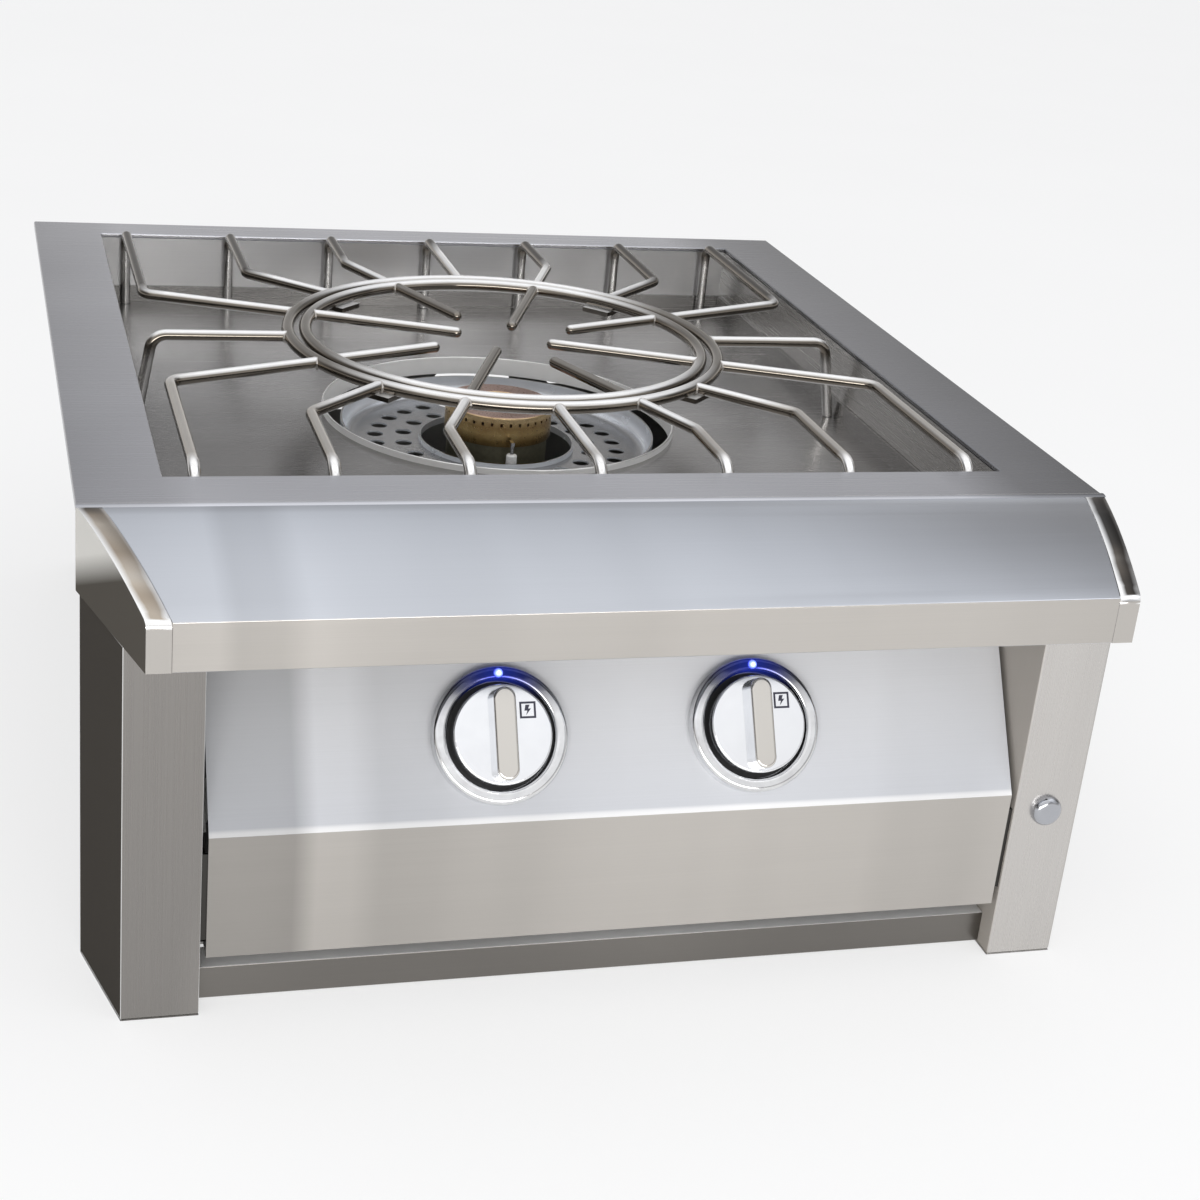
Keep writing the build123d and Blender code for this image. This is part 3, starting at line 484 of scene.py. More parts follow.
def heated_brass():
    """Brass of the burner: gold-brown bands on its sides, and a dull pinkish bloom on top from the heat."""
    mat, tree, bsdf = start_material("heated_brass", 1.0, 0.32)
    low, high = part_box("burner_head")[0].z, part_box("burner_cap")[1].z
    side = ramp(tree, rise(tree, place(tree, "Z"), low, high), BRASS_BANDS)
    tone = faced(tree, side, (("Z", 0.6, 0.95, BRASS_BLOOM),))
    patch = mottle(tree, noise(tree, STAIN_SCALE, STAIN_DETAIL, SPECK_ROUGH), BRASS_STAIN, WHITE)
    tree.links.new(multiply(tree, tone, patch), bsdf.inputs["Base Color"])
    speck = noise(tree, BRASS_GRIT, rough=SPECK_ROUGH)
    tree.links.new(spread(tree, speck, BRASS_SMOOTH, BRASS_ROUGH), bsdf.inputs["Roughness"])
    bump(tree, bsdf, speck, BRASS_BUMP, BRASS_DEPTH)
    return mat


# Places on a knob and its panel

def knob_frame(side):
    """Place on a knob's axis at the panel's face, and the directions across, up and out of the panel."""
    joint = next(j for j in frame["record"]["behaviour"]["joints"] if j["name"] == f"knob_{side}_turn")
    out = Vector(joint["axis"]).normalized()
    across = Vector((1.0, 0.0, 0.0))
    return Vector(joint["pos_m"]), across, out.cross(across), out


def knob_reach(tree, side, way):
    """How far a point is from a knob's place, along one of its panel's directions."""
    coord = tree.nodes.new("ShaderNodeTexCoord")
    along = tree.nodes.new("ShaderNodeVectorMath")
    along.operation = "DOT_PRODUCT"
    along.inputs[1].default_value = way
    tree.links.new(coord.outputs["Object"], along.inputs[0])
    return combine(tree, "SUBTRACT", along.outputs["Value"], knob_frame(side)[0].dot(way))


# Pilot lights, and the painted blue glow of their light on their bezels

LENS_HALF = 0.0048
LENS_CORE = 0.0011
LENS_EDGE = 0.0030
LENS_WAVE = 0.0006
LENS_WAVE_SCALE = 700.0
LENS_WAVE_DETAIL = 2.0
LENS_GLOW = 1.1
LENS_TONES = ((0.0, (0.85, 0.92, 1.0)), (0.35, (0.30, 0.42, 1.0)), (1.0, (0.02, 0.03, 0.45)))
# Painted blue glow of the pilot light on the bezel's chrome, and painted shade under the nose
GLOW_START = 0.002
GLOW_REACH = 0.028
GLOW_FALL = 1.6
GLOW_METAL = (0.03, 0.04, 0.30)
GLOW_LIGHT = (0.02, 0.04, 0.36)
GLOW_STRENGTH = 0.6
BEZEL_SHADE_FROM = 0.010
BEZEL_SHADE_TO = 0.026
BEZEL_SHADE = (0.17, 0.17, 0.19)
BEZEL_DARK = (0.66, 0.66, 0.67)
BEZEL_PALE = (0.78, 0.785, 0.79)
BEZEL_HAZE_SCALE = 120.0
BEZEL_SMOOTH = 0.06
BEZEL_ROUGH = 0.13


def lamp_distance(tree, side):
    """Distance from the front of a pilot light."""
    low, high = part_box(f"led_{side}")
    coord = tree.nodes.new("ShaderNodeTexCoord")
    reach = tree.nodes.new("ShaderNodeVectorMath")
    reach.operation = "DISTANCE"
    reach.inputs[1].default_value = (low + high) / 2 + knob_frame(side)[3] * LENS_HALF
    tree.links.new(coord.outputs["Object"], reach.inputs[0])
    return reach.outputs["Value"]


def light_lens(side):
    """Lens of a pilot light: a blue-white middle in a blue lens."""
    mat, tree, bsdf = start_material(f"light_lens_{side}", 0.0, 0.2)
    wave = combine(tree, "MULTIPLY", noise(tree, LENS_WAVE_SCALE, LENS_WAVE_DETAIL), LENS_WAVE)
    away = rise(tree, combine(tree, "ADD", lamp_distance(tree, side), wave), LENS_CORE, LENS_EDGE)
    glow = ramp(tree, away, LENS_TONES)
    tree.links.new(glow, bsdf.inputs["Base Color"])
    tree.links.new(glow, bsdf.inputs["Emission Color"])
    bsdf.inputs["Emission Strength"].default_value = LENS_GLOW
    return mat


def lit_chrome(side):
    """Chrome of a bezel, with painted shade under the nose and a painted blue glow around its pilot light.
    """
    mat, tree, bsdf = start_material(f"bezel_chrome_{side}", 1.0, 0.09)
    up = knob_reach(tree, side, knob_frame(side)[2])
    under = rise(tree, up, BEZEL_SHADE_FROM, BEZEL_SHADE_TO)
    near = spread(tree, lamp_distance(tree, side), 1.0, 0.0, GLOW_START, GLOW_REACH)
    near = combine(tree, "POWER", near, GLOW_FALL)
    haze = noise(tree, BEZEL_HAZE_SCALE)
    chrome = mix_colour(tree, under, mottle(tree, haze, BEZEL_DARK, BEZEL_PALE), BEZEL_SHADE)
    tree.links.new(mix_colour(tree, near, chrome, GLOW_METAL), bsdf.inputs["Base Color"])
    tree.links.new(mix_colour(tree, near, BLACK, GLOW_LIGHT), bsdf.inputs["Emission Color"])
    bsdf.inputs["Emission Strength"].default_value = GLOW_STRENGTH
    tree.links.new(spread(tree, haze, BEZEL_SMOOTH, BEZEL_ROUGH), bsdf.inputs["Roughness"])
    return mat


# Knobs

KNOB_FACE = 0.0120
KNOB_DARK = (0.82, 0.83, 0.85)
KNOB_PALE = (0.88, 0.89, 0.91)
KNOB_SMOOTH = 0.09
KNOB_ROUGH = 0.15
BAR_FRONT = (0.64, 0.615, 0.575)
BAR_FRONT_FROM = 0.0060
BAR_FRONT_TO = 0.0078


def knob_chrome(side):
    """Chrome of a knob, with a duller front on its grip bar."""
    mat, tree, bsdf = start_material(f"knob_chrome_{side}", 1.0, 0.12)
    reach = knob_reach(tree, side, knob_frame(side)[3])
    front = rise(tree, reach, KNOB_FACE + BAR_FRONT_FROM, KNOB_FACE + BAR_FRONT_TO)
    haze = noise(tree, HAZE_SCALE)
    tone = mottle(tree, haze, KNOB_DARK, KNOB_PALE)
    tree.links.new(mix_colour(tree, front, tone, BAR_FRONT), bsdf.inputs["Base Color"])
    tree.links.new(spread(tree, haze, KNOB_SMOOTH, KNOB_ROUGH), bsdf.inputs["Roughness"])
    return mat


# Tones of the sheet pieces: greys at places in x, and the tones and shine of their turned faces, mostly
# painted shade, light and reflections

# Painted shade on the rim: darker at the left end and much darker on the right
RIM_SHADE_BANDS = ((-0.285, 0.68), (-0.242, 0.84), (-0.225, 1.0), (0.195, 1.0), (0.240, 0.48), (0.285, 0.34))
# Painted shade on the tub, darker to the left
TUB_SHADE_BANDS = ((-0.240, 0.52), (-0.140, 0.72), (0.0, 0.96), (0.240, 0.80))
# Painted reflections across the nose's front: a dark band near its left end
NOSE_REFLECTION_BANDS = (
    (-0.285, 0.94),
    (-0.225, 0.98),
    (-0.215, 0.84),
    (-0.195, 0.86),
    (-0.180, 1.0),
    (0.0, 0.97),
    (0.160, 1.0),
    (0.285, 0.92),
)
# Painted light on the nose's slope, paler to the right
SLOPE_LIGHT_BANDS = ((-0.285, 0.68), (0.060, 0.68), (0.140, 0.78), (0.190, 0.90), (0.225, 0.95), (0.285, 0.95))
# Painted reflection of the left post: the panel darker at its left
PANEL_REFLECTION_BANDS = (
    (-0.2235, 0.64),
    (-0.180, 0.62),
    (-0.168, 0.96),
    (-0.150, 0.96),
    (-0.135, 0.86),
    (-0.060, 0.95),
    (0.060, 1.0),
    (0.2235, 0.96),
)
# Painted highlight along the panel's fold, and painted light that makes the slope paler up under the nose
PANEL_SLOPE_LIGHT = (
    (0.412, (0.780, 0.782, 0.790)),
    (0.422, (0.545, 0.558, 0.590)),
    (0.85, (0.700, 0.702, 0.715)),
)
# Painted sky reflection: the cool tone of upward faces
SKY_REFLECTION_TINT = (0.865, 0.895, 0.955)


def nose_slope(tree):
    """Painted sky reflection on the nose's slope: a cool tone, with painted light paler to the right."""
    return multiply(tree, SKY_REFLECTION_TINT, across_x(tree, SLOPE_LIGHT_BANDS))


def panel_slope(tree):
    """Tone of the panel's sloped half: a painted highlight at the fold, and painted light paler up under the
    nose.
    """
    low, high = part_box("control_panel")
    return ramp(tree, rise(tree, place(tree, "Z"), low.z, high.z), PANEL_SLOPE_LIGHT)


# Painted sky reflection on the nose's upward slope
NOSE_TURNED = (("Z", 0.3, 0.7, nose_slope),)
# Painted highlight and painted light on the panel's slope
PANEL_TURNED = (("Z", 0.2, 0.4, panel_slope),)
PANEL_MATTE = ("Z", 0.2, 0.4, 0.12)
# Painted highlight on the rail's top face
RAIL_TURNED = (("Z", 0.5, 0.9, FOLD_HIGHLIGHT),)
RAIL_MATTE = ("Z", 0.5, 0.9, 0.10)
# Painted shade on the posts' sides: near black on the left post with a painted highlight on its edges, mid
# grey on the right post
FLANK_SHADE = (0.068, 0.062, 0.055)
OUTER_FLANK = (("X", 0.12, 0.25, FOLD_HIGHLIGHT), ("X", 0.90, 0.97, FLANK_SHADE))
INNER_FLANK = (("X", 0.15, 0.95, (0.43, 0.40, 0.365)),)
FLANK_MATTE = ("X", 0.90, 0.97, 0.0)
BOWL_TURNED = (("Z", 0.75, 0.95, (0.40, 0.395, 0.39)),)
BOWL_MATTE = ("Z", 0.90, 0.50, 0.40)
COLLAR_MATTE = ("Z", 0.30, 0.0, 0.12)

# How the broad tones are drawn out on each sheet
NOSE_CLOUDS = (1.8, 0.3, 0.3)
PANEL_CLOUDS = (2.0, 0.2, 0.2)
POST_CLOUDS = (2, 1, 0.5)
TUB_CLOUDS = (0.5, 1.5, 2.0)
REAR_CLOUDS = (2.0, 0.5, 0.5)
SIDE_CLOUDS = (1.5, 0.5, 2.0)


# Every finish, and the nodes that wear it

mats = {
    "rim": brushed("rim_steel", (0.63, 0.635, 0.67), roughness=0.26, grain="x", bands=RIM_SHADE_BANDS),
    "nose": brushed(
        "nose_steel", WARM, roughness=0.30, grain="x", clouds=0.10, cloud_stretch=NOSE_CLOUDS,
        turned=NOSE_TURNED, bands=NOSE_REFLECTION_BANDS,
    ),
    "panel": brushed(
        "panel_steel", WARM, roughness=0.36, grain="x", clouds=0.10, cloud_stretch=PANEL_CLOUDS,
        turned=PANEL_TURNED, matte=PANEL_MATTE, bands=PANEL_REFLECTION_BANDS,
    ),
    "rail": brushed(
        "rail_steel", (0.205, 0.194, 0.180), roughness=0.30, grain="x", turned=RAIL_TURNED, matte=RAIL_MATTE,
    ),
    # The posts share one steel; the left is a darker copy for painted shade, the right a paler one for
    # painted light
    "post_left": brushed(
        "post_steel_left", (0.30, 0.286, 0.272), roughness=0.28, grain="z", clouds=0.14,
        cloud_stretch=POST_CLOUDS, turned=OUTER_FLANK, matte=FLANK_MATTE,
    ),
    "post_right": brushed(
        "post_steel_right", (0.58, 0.56, 0.54), roughness=0.28, grain="z", clouds=0.12,
        cloud_stretch=POST_CLOUDS, turned=INNER_FLANK, matte=FLANK_MATTE,
    ),
    # The tub's walls share one steel; the different tones of the front and floor, the rear and the sides are
    # painted light and shade
    "tub": brushed(
        "tub_steel", (0.52, 0.51, 0.50), roughness=0.26, grain="x", clouds=0.18, cloud_stretch=TUB_CLOUDS,
        bands=TUB_SHADE_BANDS,
    ),
    "tub_rear": brushed(
        "tub_rear_steel", (0.77, 0.77, 0.78), roughness=0.30, grain="x", clouds=0.22,
        cloud_stretch=REAR_CLOUDS,
    ),
    "tub_side": brushed(
        "tub_side_steel", (0.66, 0.65, 0.635), roughness=0.26, grain="y", clouds=0.18,
        cloud_stretch=SIDE_CLOUDS,
    ),
    "housing": brushed("housing_steel", (0.30, 0.295, 0.285), roughness=0.40, grain="z"),
    "bracket": brushed("bracket_steel", (0.42, 0.42, 0.41), roughness=0.45, grain="x"),
    # Painted shade: the panel brackets made near black, as the dark gap behind the panel
    "inside": brushed("bracket_shade_steel", (0.055, 0.053, 0.050), roughness=0.50, grain="z"),
    "pipe": brushed("pipe_steel", (0.46, 0.46, 0.45), roughness=0.40, grain="y"),
    # The nose ends share one polish; their different bands are painted reflections
    "mirror_left": mirror_bar("mirror_bar_left", "nose_end_left", LEFT_BAR_REFLECTIONS),
    "mirror_right": mirror_bar("mirror_bar_right", "nose_end_right", RIGHT_BAR_REFLECTIONS),
    "bolt": polished("bolt_steel", (0.46, 0.47, 0.50), roughness=0.08),
    "bowl": polished("bowl_steel", (0.80, 0.83, 0.88), roughness=0.24, turned=BOWL_TURNED, matte=BOWL_MATTE),
    "collar": polished("collar_steel", (0.93, 0.925, 0.91), roughness=0.30, matte=COLLAR_MATTE),
    "tip": polished("tip_steel", (0.60, 0.59, 0.58), roughness=0.14),
    # The rods share one steel; their tones on top are painted light and shade, pale at the front and dark at
    # the back and on rings and fingers
    "rod_front": rod_metal("rod_steel_front", on_runs, tone=(0.50, 0.475, 0.44), ends=on_rod_ends),
    "rod_rear": rod_metal("rod_steel_rear", on_runs, tone=(0.10, 0.093, 0.085)),
    "ring": rod_metal("ring_steel", on_ring_sides, tone=(0.22, 0.205, 0.185)),
    "finger": rod_metal("finger_steel", on_long_fingers, tone=(0.24, 0.225, 0.205)),
    "cast": cast("burner_casting", (0.17, 0.16, 0.11), roughness=0.50, metallic=0.8),
    "ceramic": cast(
        "white_ceramic", (0.90, 0.89, 0.87), roughness=0.22, metallic=0.0, grit=500.0, depth=0.04,
    ),
    "moulding": cast("black_moulding", (0.022, 0.022, 0.024), roughness=0.45, metallic=0.0),
    "plain_brass": cast(
        "plain_brass", (0.66, 0.50, 0.24), roughness=0.32, metallic=1.0, grit=500.0, depth=0.08,
    ),
    "weld": cast("weld_metal", (0.50, 0.47, 0.44), roughness=0.30, metallic=1.0, grit=900.0, depth=0.15),
    "print": cast(
        "printed_mark", (0.035, 0.035, 0.06), roughness=0.40, metallic=0.0, grit=700.0, depth=0.05,
    ),
    "heated": heated_brass(),
}

dress = {
    "rim": ["top_frame"],
    "nose": ["nose_panel"],
    "panel": ["control_panel"],
    "rail": ["lower_rail"],
    "post_left": ["post_left"],
    "post_right": ["post_right"],
    "tub": ["tub_wall_front", "tub_floor", "tub_floor_edges"],
    "tub_rear": ["tub_wall_rear"],
    "tub_side": ["tub_wall_left", "tub_wall_right"],
    "housing": ["housing_side_left", "housing_side_right", "housing_rear", "housing_bottom"],
    "bracket": ["manifold_brackets", "burner_bracket", "bowl_hangers", "housing_screws"],
    "inside": ["panel_brackets"],
    "pipe": ["manifold", "supply_pipe", "venturi_left", "venturi_right", "air_shutters", "stem_left",
             "stem_right"],
    "mirror_left": ["nose_end_left"],
    "mirror_right": ["nose_end_right"],
    "bolt": ["post_bolt"],
    "bowl": ["burner_bowl"],
    "collar": ["well_collar"],
    "tip": ["igniter_tip"],
    "rod_front": ["grate_rods_front", "grate_rods_side", "ring_tabs"],
    "rod_rear": ["grate_rods_rear"],
    "ring": ["grate_ring", "wok_ring"],
    "finger": ["wok_fingers"],
    "cast": ["burner_body"],
    "ceramic": ["igniter_electrode"],
    "moulding": ["ignition_module"],
    "plain_brass": ["valve_left", "valve_right", "plug_left", "plug_right", "orifices", "gas_inlet",
                    "inlet_nut"],
    "heated": ["burner_head", "burner_cap", "inner_burner"],
}

for side in SIDES:
    mats[f"knob_{side}"] = knob_chrome(side)
    mats[f"bezel_{side}"] = lit_chrome(side)
    mats[f"lens_{side}"] = light_lens(side)
    dress[f"knob_{side}"] = [f"knob_{side}"]
    dress[f"bezel_{side}"] = [f"bezel_{side}"]
    dress[f"lens_{side}"] = [f"led_{side}"]

for key, names in dress.items():
    for name in names:
        slots = nodes[name].data.materials
        slots.clear()
        slots.append(mats[key])


# Softened edges on the bent sheet and the nose ends, with their widths

SOFT_EDGES = {
    "top_frame": 0.0010,
    "nose_panel": 0.0006,
    "nose_end_left": 0.0010,
    "nose_end_right": 0.0010,
    "post_left": 0.0018,
    "post_right": 0.0018,
    "lower_rail": 0.0005,
}
SOFT_SEGMENTS = 2
SOFT_ANGLE = radians(28)
MERGE_REACH = 0.00001


def soften(name, width):
    """Rounds the sharp edges of a node by modifiers, with its mesh left as it is."""
    obj = nodes[name]
    merge = obj.modifiers.new("merge", "WELD")
    merge.merge_threshold = MERGE_REACH
    edge = obj.modifiers.new("edge", "BEVEL")
    edge.width = width
    edge.segments = SOFT_SEGMENTS
    edge.limit_method = "ANGLE"
    edge.angle_limit = SOFT_ANGLE
    edge.harden_normals = True


for name, width in SOFT_EDGES.items():
    soften(name, width)


# Mesh helpers

SMOOTH_ANGLE = radians(40)


def mesh_piece(name, maker, material, body, smooth=True):
    """A new object whose mesh is filled by maker, riding on a body."""
    made = bmesh.new()
    maker(made)
    bmesh.ops.recalc_face_normals(made, faces=made.faces)
    mesh = bpy.data.meshes.new(name)
    made.to_mesh(mesh)
    made.free()
    if smooth:
        mesh.shade_smooth()
        mesh.set_sharp_from_angle(angle=SMOOTH_ANGLE)
    mesh.materials.append(mats[material])
    piece = bpy.data.objects.new(name, mesh)
    scene.collection.objects.link(piece)
    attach(piece, body)


def skin(made, rings, closed):
    """Faces between rings of points in turn: a closed loop of rings, or a run with capped ends."""
    loops = [[made.verts.new(point) for point in ring] for ring in rings]
    count = len(loops[0])
    pairs = list(zip(loops, loops[1:]))
    if closed:
        pairs.append((loops[-1], loops[0]))
    for first, second in pairs:
        for i in range(count):
            j = (i + 1) % count
            made.faces.new((first[i], first[j], second[j], second[i]))
    if not closed:
        made.faces.new(loops[0])
        made.faces.new(reversed(loops[-1]))


def turns(count):
    """Angles of a full turn in even steps."""
    return [2 * pi * i / count for i in range(count)]


# Weld beads where the rods and the fingers meet their rings

BEAD = 0.0009
BEAD_STEPS = 28
BEAD_SIDES = 8
BEAD_THINNING = 0.8
RIPPLE = 0.22
RIPPLE_COUNT = 7
RIPPLE_SHIFT = 5
ROD_RADIUS = 0.0035
ROD_COUNT = 16
FINGER_COUNT = 8


def ring_of(name):
    """Centre, middle radius and rod radius of a round-rod ring."""
    low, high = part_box(name)
    rod = (high.z - low.z) / 2
    return (low + high) / 2, (high.x - low.x) / 2 - rod, rod


def weld_bead(made, ring, angle, rod, side):
    """A rippled bead around a rod's end on the outer (side 1) or inner (side -1) face of a ring."""
    centre, radius, tube_radius = ring
    out = Vector((cos(angle), sin(angle), 0.0))
    along = Vector((-sin(angle), cos(angle), 0.0))
    up = Vector((0.0, 0.0, 1.0))
    rings = []
    for turn in turns(BEAD_STEPS):
        away = along * cos(turn) + up * sin(turn)
        reach = radius + side * sqrt(tube_radius ** 2 - (rod * sin(turn)) ** 2)
        path = centre + out * reach + away * rod
        ripple = 1.0 + RIPPLE * sin(RIPPLE_COUNT * turn + RIPPLE_SHIFT * angle)
        thin = 1.0 - BEAD_THINNING * max(0.0, sin(turn)) ** 2
        size = BEAD * ripple * thin
        rings.append([path + (out * cos(t) + away * sin(t)) * size for t in turns(BEAD_SIDES)])
    skin(made, rings, True)


def grate_welds(made):
    """Beads around the rods, outside the grate ring."""
    ring = ring_of("grate_ring")
    for angle in turns(ROD_COUNT):
        weld_bead(made, ring, angle, ROD_RADIUS, 1)


def finger_welds(made):
    """Beads around the fingers, which lie half a step round, inside the wok ring."""
    ring = ring_of("wok_ring")
    for angle in turns(FINGER_COUNT):
        weld_bead(made, ring, angle + pi / FINGER_COUNT, ROD_RADIUS, -1)


mesh_piece("grate_welds", grate_welds, "weld", "grate")
mesh_piece("finger_welds", finger_welds, "weld", "wok_insert")


# Rolled edge along the crease between the rim and the nose

EDGE_RADIUS = 0.0060
EDGE_RISE = 0.0006
EDGE_SPREAD = radians(32)
EDGE_SIDES = 14


def crease_edge(made):
    """A low round bar along the front of the rim."""
    low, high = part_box("top_frame")
    middle = high.z + EDGE_RISE - EDGE_RADIUS
    steps = [EDGE_SPREAD * (2 * k / EDGE_SIDES - 1) for k in range(EDGE_SIDES + 1)]
    arc = [(low.y + EDGE_RADIUS * sin(t), middle + EDGE_RADIUS * cos(t)) for t in steps]
    skin(made, [[Vector((x, y, z)) for y, z in arc] for x in (low.x, high.x)], False)


mesh_piece("crease_edge", crease_edge, "rim", "frame")


# Knob marks, and a dark ring inside each bezel that stands in for shade, drawn in the plane of the tilted
# panel

MARK_AT = (0.0137, 0.0123)
MARK_HALF = 0.0044
MARK_LINE = 0.0011
MARK_SUNK = 0.0002
MARK_RISE = 0.0001
SPARK_MM = ((-1.1, 2.7), (1.1, 2.7), (0.3, 0.7), (1.8, 0.7), (-1.0, -2.8), (-0.2, -0.4), (-1.8, -0.4))
MM_IN_M = 1000
BACKING_OUTER = 0.0287
BACKING_INNER = 0.0088
BACKING_SUNK = 0.0001
BACKING_HIGH = 0.0006
BACKING_SIDES = 64


def on_panel(side, outline, height):
    """Points of an outline (across, up) in a knob's plane, at a distance out from the panel."""
    at, across, up, out = knob_frame(side)
    return [at + across * x + up * y + out * height for x, y in outline]


def plate(made, side, outline, low, high):
    """A flat plate with a knob-plane outline, between two distances out from the panel."""
    skin(made, [on_panel(side, outline, height) for height in (low, high)], False)


def flat_frame(made, side, outer, inner, low, high):
    """A flat frame between two outlines with as many points, out from the panel."""
    levels = ((outer, low), (outer, high), (inner, high), (inner, low))
    skin(made, [on_panel(side, outline, height) for outline, height in levels], True)


def square(half):
    """Outline of a square around the mark's middle."""
    x, y = MARK_AT
    return [(x - half, y - half), (x + half, y - half), (x + half, y + half), (x - half, y + half)]


def circle(radius):
    """Outline of a circle around the knob's axis."""
    return [(radius * cos(t), radius * sin(t)) for t in turns(BACKING_SIDES)]


def knob_mark(made, side):
    """A plain spark in a square, on the face of a knob."""
    low, high = KNOB_FACE - MARK_SUNK, KNOB_FACE + MARK_RISE
    flat_frame(made, side, square(MARK_HALF), square(MARK_HALF - MARK_LINE), low, high)
    spark = [(MARK_AT[0] + x / MM_IN_M, MARK_AT[1] + y / MM_IN_M) for x, y in SPARK_MM]
    plate(made, side, spark, low, high)


def bezel_gap_shade(made, side):
    """A thin dark ring on the panel, behind a knob, that stands in for the shade in the bezel's gap."""
    flat_frame(made, side, circle(BACKING_OUTER), circle(BACKING_INNER), -BACKING_SUNK, BACKING_HIGH)


for side in SIDES:
    mark = partial(knob_mark, side=side)
    gap_shade = partial(bezel_gap_shade, side=side)
    mesh_piece(f"knob_mark_{side}", mark, "print", f"knob_{side}", smooth=False)
    mesh_piece(f"bezel_gap_shade_{side}", gap_shade, "moulding", "frame", smooth=False)


# Camera: up and to the left of the front, as in the photograph

SENSOR_WIDTH = 36.0
LENS = 64.08
CAMERA_AT = (-0.336, -1.250, 0.654)
CAMERA_FORWARD = (0.2828, 0.8760, -0.3907)
CAMERA_RIGHT = (0.9589, -0.2680, 0.0933)


def make_camera():
    """The camera, turned by its forward direction and then by the one to its right."""
    data = bpy.data.cameras.new("camera")
    data.sensor_width = SENSOR_WIDTH
    data.lens = LENS
    camera = bpy.data.objects.new("camera", data)
    scene.collection.objects.link(camera)
    forward = Vector(CAMERA_FORWARD).normalized()
    right = Vector(CAMERA_RIGHT)
    right = (right - forward * right.dot(forward)).normalized()
    turn = Matrix((right, right.cross(forward), -forward)).transposed().to_4x4()
    camera.matrix_world = Matrix.Translation(CAMERA_AT) @ turn
    scene.camera = camera


# Floor

FLOOR_HALF = 60.0
FLOOR_CELLS = 4
FLOOR_GLOW = 0.62
FLOOR_DARK = 0.89
FLOOR_PALE = 0.91
FLOOR_SCALE = 3.0
FLOOR_DETAIL = 2.0
FLOOR_SHINE = 0.1


def floor_material():
    """Pale and plain, near white to the camera and in the metal."""
    mat, tree, bsdf = start_material("floor", 0.0, 0.6)
    tone = mottle(tree, noise(tree, FLOOR_SCALE, FLOOR_DETAIL), grey(FLOOR_DARK), grey(FLOOR_PALE))
    tree.links.new(tone, bsdf.inputs["Base Color"])
    bsdf.inputs["Specular IOR Level"].default_value = FLOOR_SHINE
    path = tree.nodes.new("ShaderNodeLightPath")
    seen = combine(tree, "MAXIMUM", path.outputs["Is Camera Ray"], path.outputs["Is Glossy Ray"])
    seen = combine(tree, "MAXIMUM", seen, path.outputs["Is Transmission Ray"])
    glow = tree.nodes.new("ShaderNodeEmission")
    blend = tree.nodes.new("ShaderNodeMixShader")
    out = next(node for node in tree.nodes if node.type == "OUTPUT_MATERIAL")
    tree.links.new(combine(tree, "MULTIPLY", seen, FLOOR_GLOW), blend.inputs["Fac"])
    tree.links.new(bsdf.outputs["BSDF"], blend.inputs[1])
    tree.links.new(glow.outputs["Emission"], blend.inputs[2])
    tree.links.new(blend.outputs["Shader"], out.inputs["Surface"])
    return mat


def make_floor():
    """A wide floor that takes the object's shadow."""
    made = bmesh.new()
    bmesh.ops.create_grid(made, x_segments=FLOOR_CELLS, y_segments=FLOOR_CELLS, size=FLOOR_HALF)
    mesh = bpy.data.meshes.new("floor")
    made.to_mesh(mesh)
    made.free()
    mesh.materials.append(floor_material())
    floor = bpy.data.objects.new("floor", mesh)
    scene.collection.objects.link(floor)
    floor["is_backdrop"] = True


# Sky: tones by height, and where it is dimmed, as spans of the direction's x, y and z

SKY = (
    (0.0, (0.80, 0.79, 0.78)),
    (0.12, (0.64, 0.63, 0.62)),
    (0.36, (0.42, 0.42, 0.43)),
    (0.50, (0.50, 0.505, 0.52)),
    (0.66, (0.74, 0.755, 0.785)),
    (0.86, (0.97, 0.98, 1.0)),
    (1.0, (0.97, 0.98, 1.0)),
)
SKY_STRENGTH = 1.15
SKY_DIM = (0.34, 0.33, 0.32)
SIDE_SPAN = (0.60, 0.90)
SIDE_TOP = (0.55, 0.75)
RIGHT_SPAN = (0.42, 0.60)
REAR_SPAN = (0.30, 0.70)
LOW_SKY = (0.06, 0.20)
FRONT_SPAN = (-0.60, -0.30)
HIGH_SKY = (0.64, 0.74)
BEHIND_BOXES = 0.45


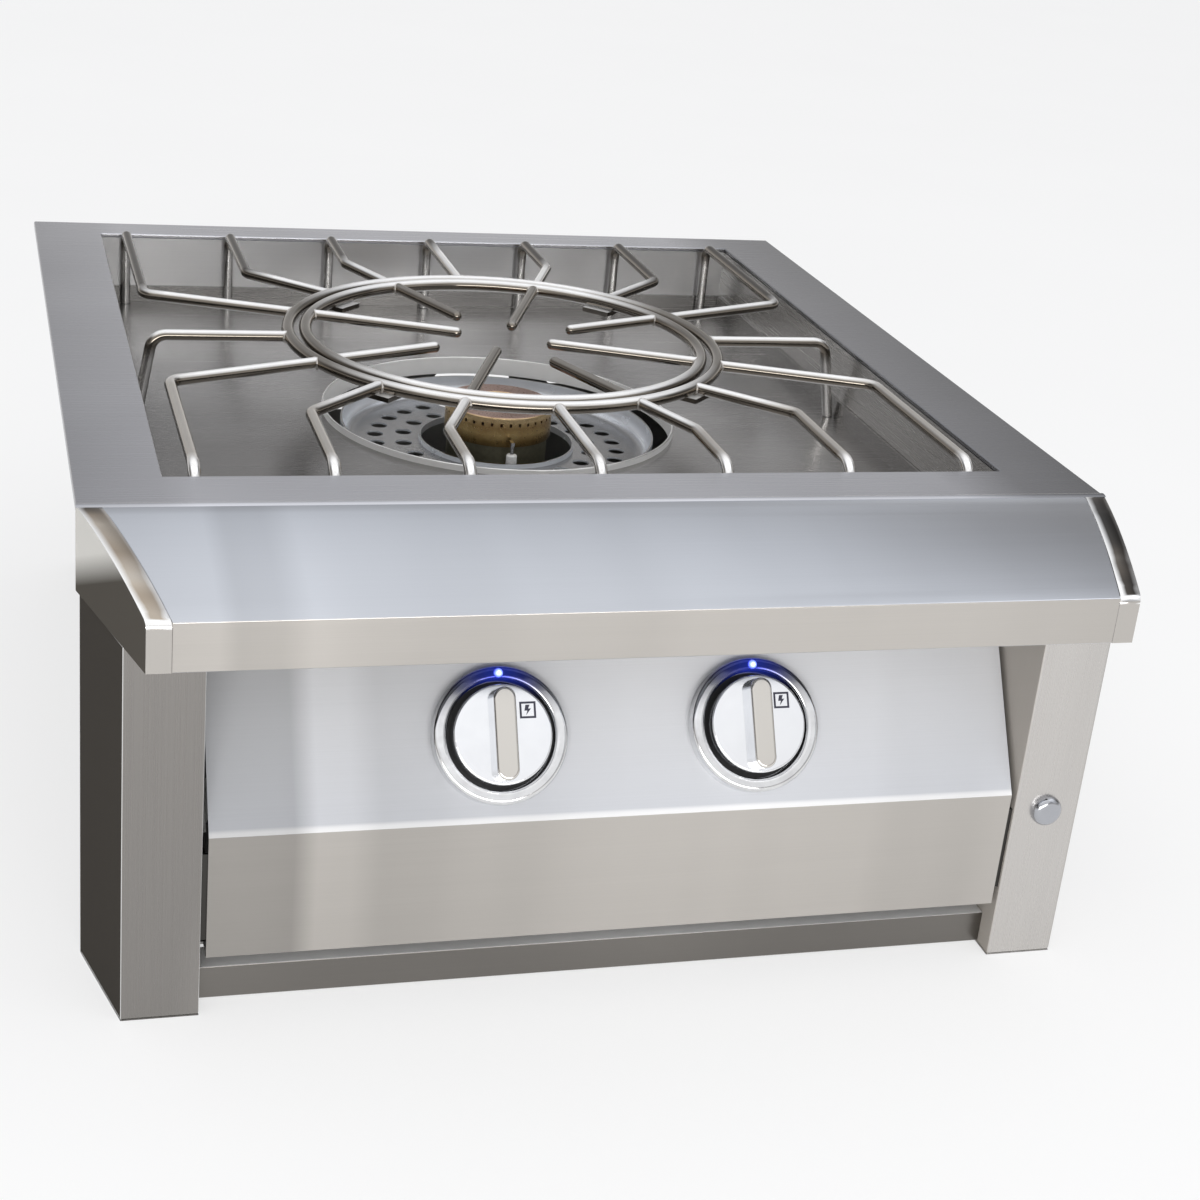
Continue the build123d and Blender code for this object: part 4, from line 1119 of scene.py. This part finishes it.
def make_world():
    """Soft studio sky: pale low down, a darker belt, bright overhead.

    It is dim at the sides, at the right rear, and high in front, behind the soft boxes.
    """
    world = bpy.data.worlds.new("studio")
    scene.world = world
    world.use_nodes = True
    tree = world.node_tree
    tree.nodes.clear()
    out = tree.nodes.new("ShaderNodeOutputWorld")
    back = tree.nodes.new("ShaderNodeBackground")
    coord = tree.nodes.new("ShaderNodeTexCoord")
    split = tree.nodes.new("ShaderNodeSeparateXYZ")
    tree.links.new(coord.outputs["Generated"], split.inputs["Vector"])
    x, y, z = split.outputs
    side = rise(tree, combine(tree, "ABSOLUTE", x), *SIDE_SPAN)
    side = combine(tree, "MULTIPLY", side, spread(tree, z, 1.0, 0.0, *SIDE_TOP))
    corner = combine(tree, "MULTIPLY", rise(tree, x, *RIGHT_SPAN), rise(tree, y, *REAR_SPAN))
    shade = combine(tree, "MULTIPLY", combine(tree, "MAXIMUM", side, corner), rise(tree, z, *LOW_SKY))
    front = spread(tree, y, BEHIND_BOXES, 0.0, *FRONT_SPAN)
    front = combine(tree, "MULTIPLY", front, rise(tree, z, *HIGH_SKY))
    dim = ramp(tree, combine(tree, "MAXIMUM", shade, front), ((0.0, WHITE), (1.0, SKY_DIM)))
    tree.links.new(multiply(tree, ramp(tree, z, SKY), dim), back.inputs["Color"])
    back.inputs["Strength"].default_value = SKY_STRENGTH
    tree.links.new(back.outputs["Background"], out.inputs["Surface"])


# Lamps

def soft_box(name, at, size, power, colour):
    """A soft box that faces the middle of the object; at and size are in metres, and power is in watts."""
    data = bpy.data.lights.new(name, "AREA")
    data.shape = "RECTANGLE"
    data.size, data.size_y = size
    data.energy = power
    data.color = colour
    lamp = bpy.data.objects.new(name, data)
    scene.collection.objects.link(lamp)
    lamp.location = at
    low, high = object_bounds()
    lamp.rotation_mode = "QUATERNION"
    lamp.rotation_quaternion = ((low + high) / 2 - Vector(at)).to_track_quat("-Z", "Y")


make_camera()
make_floor()
make_world()
soft_box("key", at=(-0.7, -1.9, 2.3), size=(5.0, 3.2), power=18.0, colour=(1.0, 0.98, 0.95))
soft_box("fill", at=(2.2, -1.2, 1.8), size=(2.0, 2.6), power=7.0, colour=(0.96, 0.98, 1.0))
soft_box("front", at=(-0.3, -2.6, 0.45), size=(2.4, 0.8), power=36.0, colour=(1.0, 0.99, 0.97))

scene.view_settings.view_transform = "Standard"
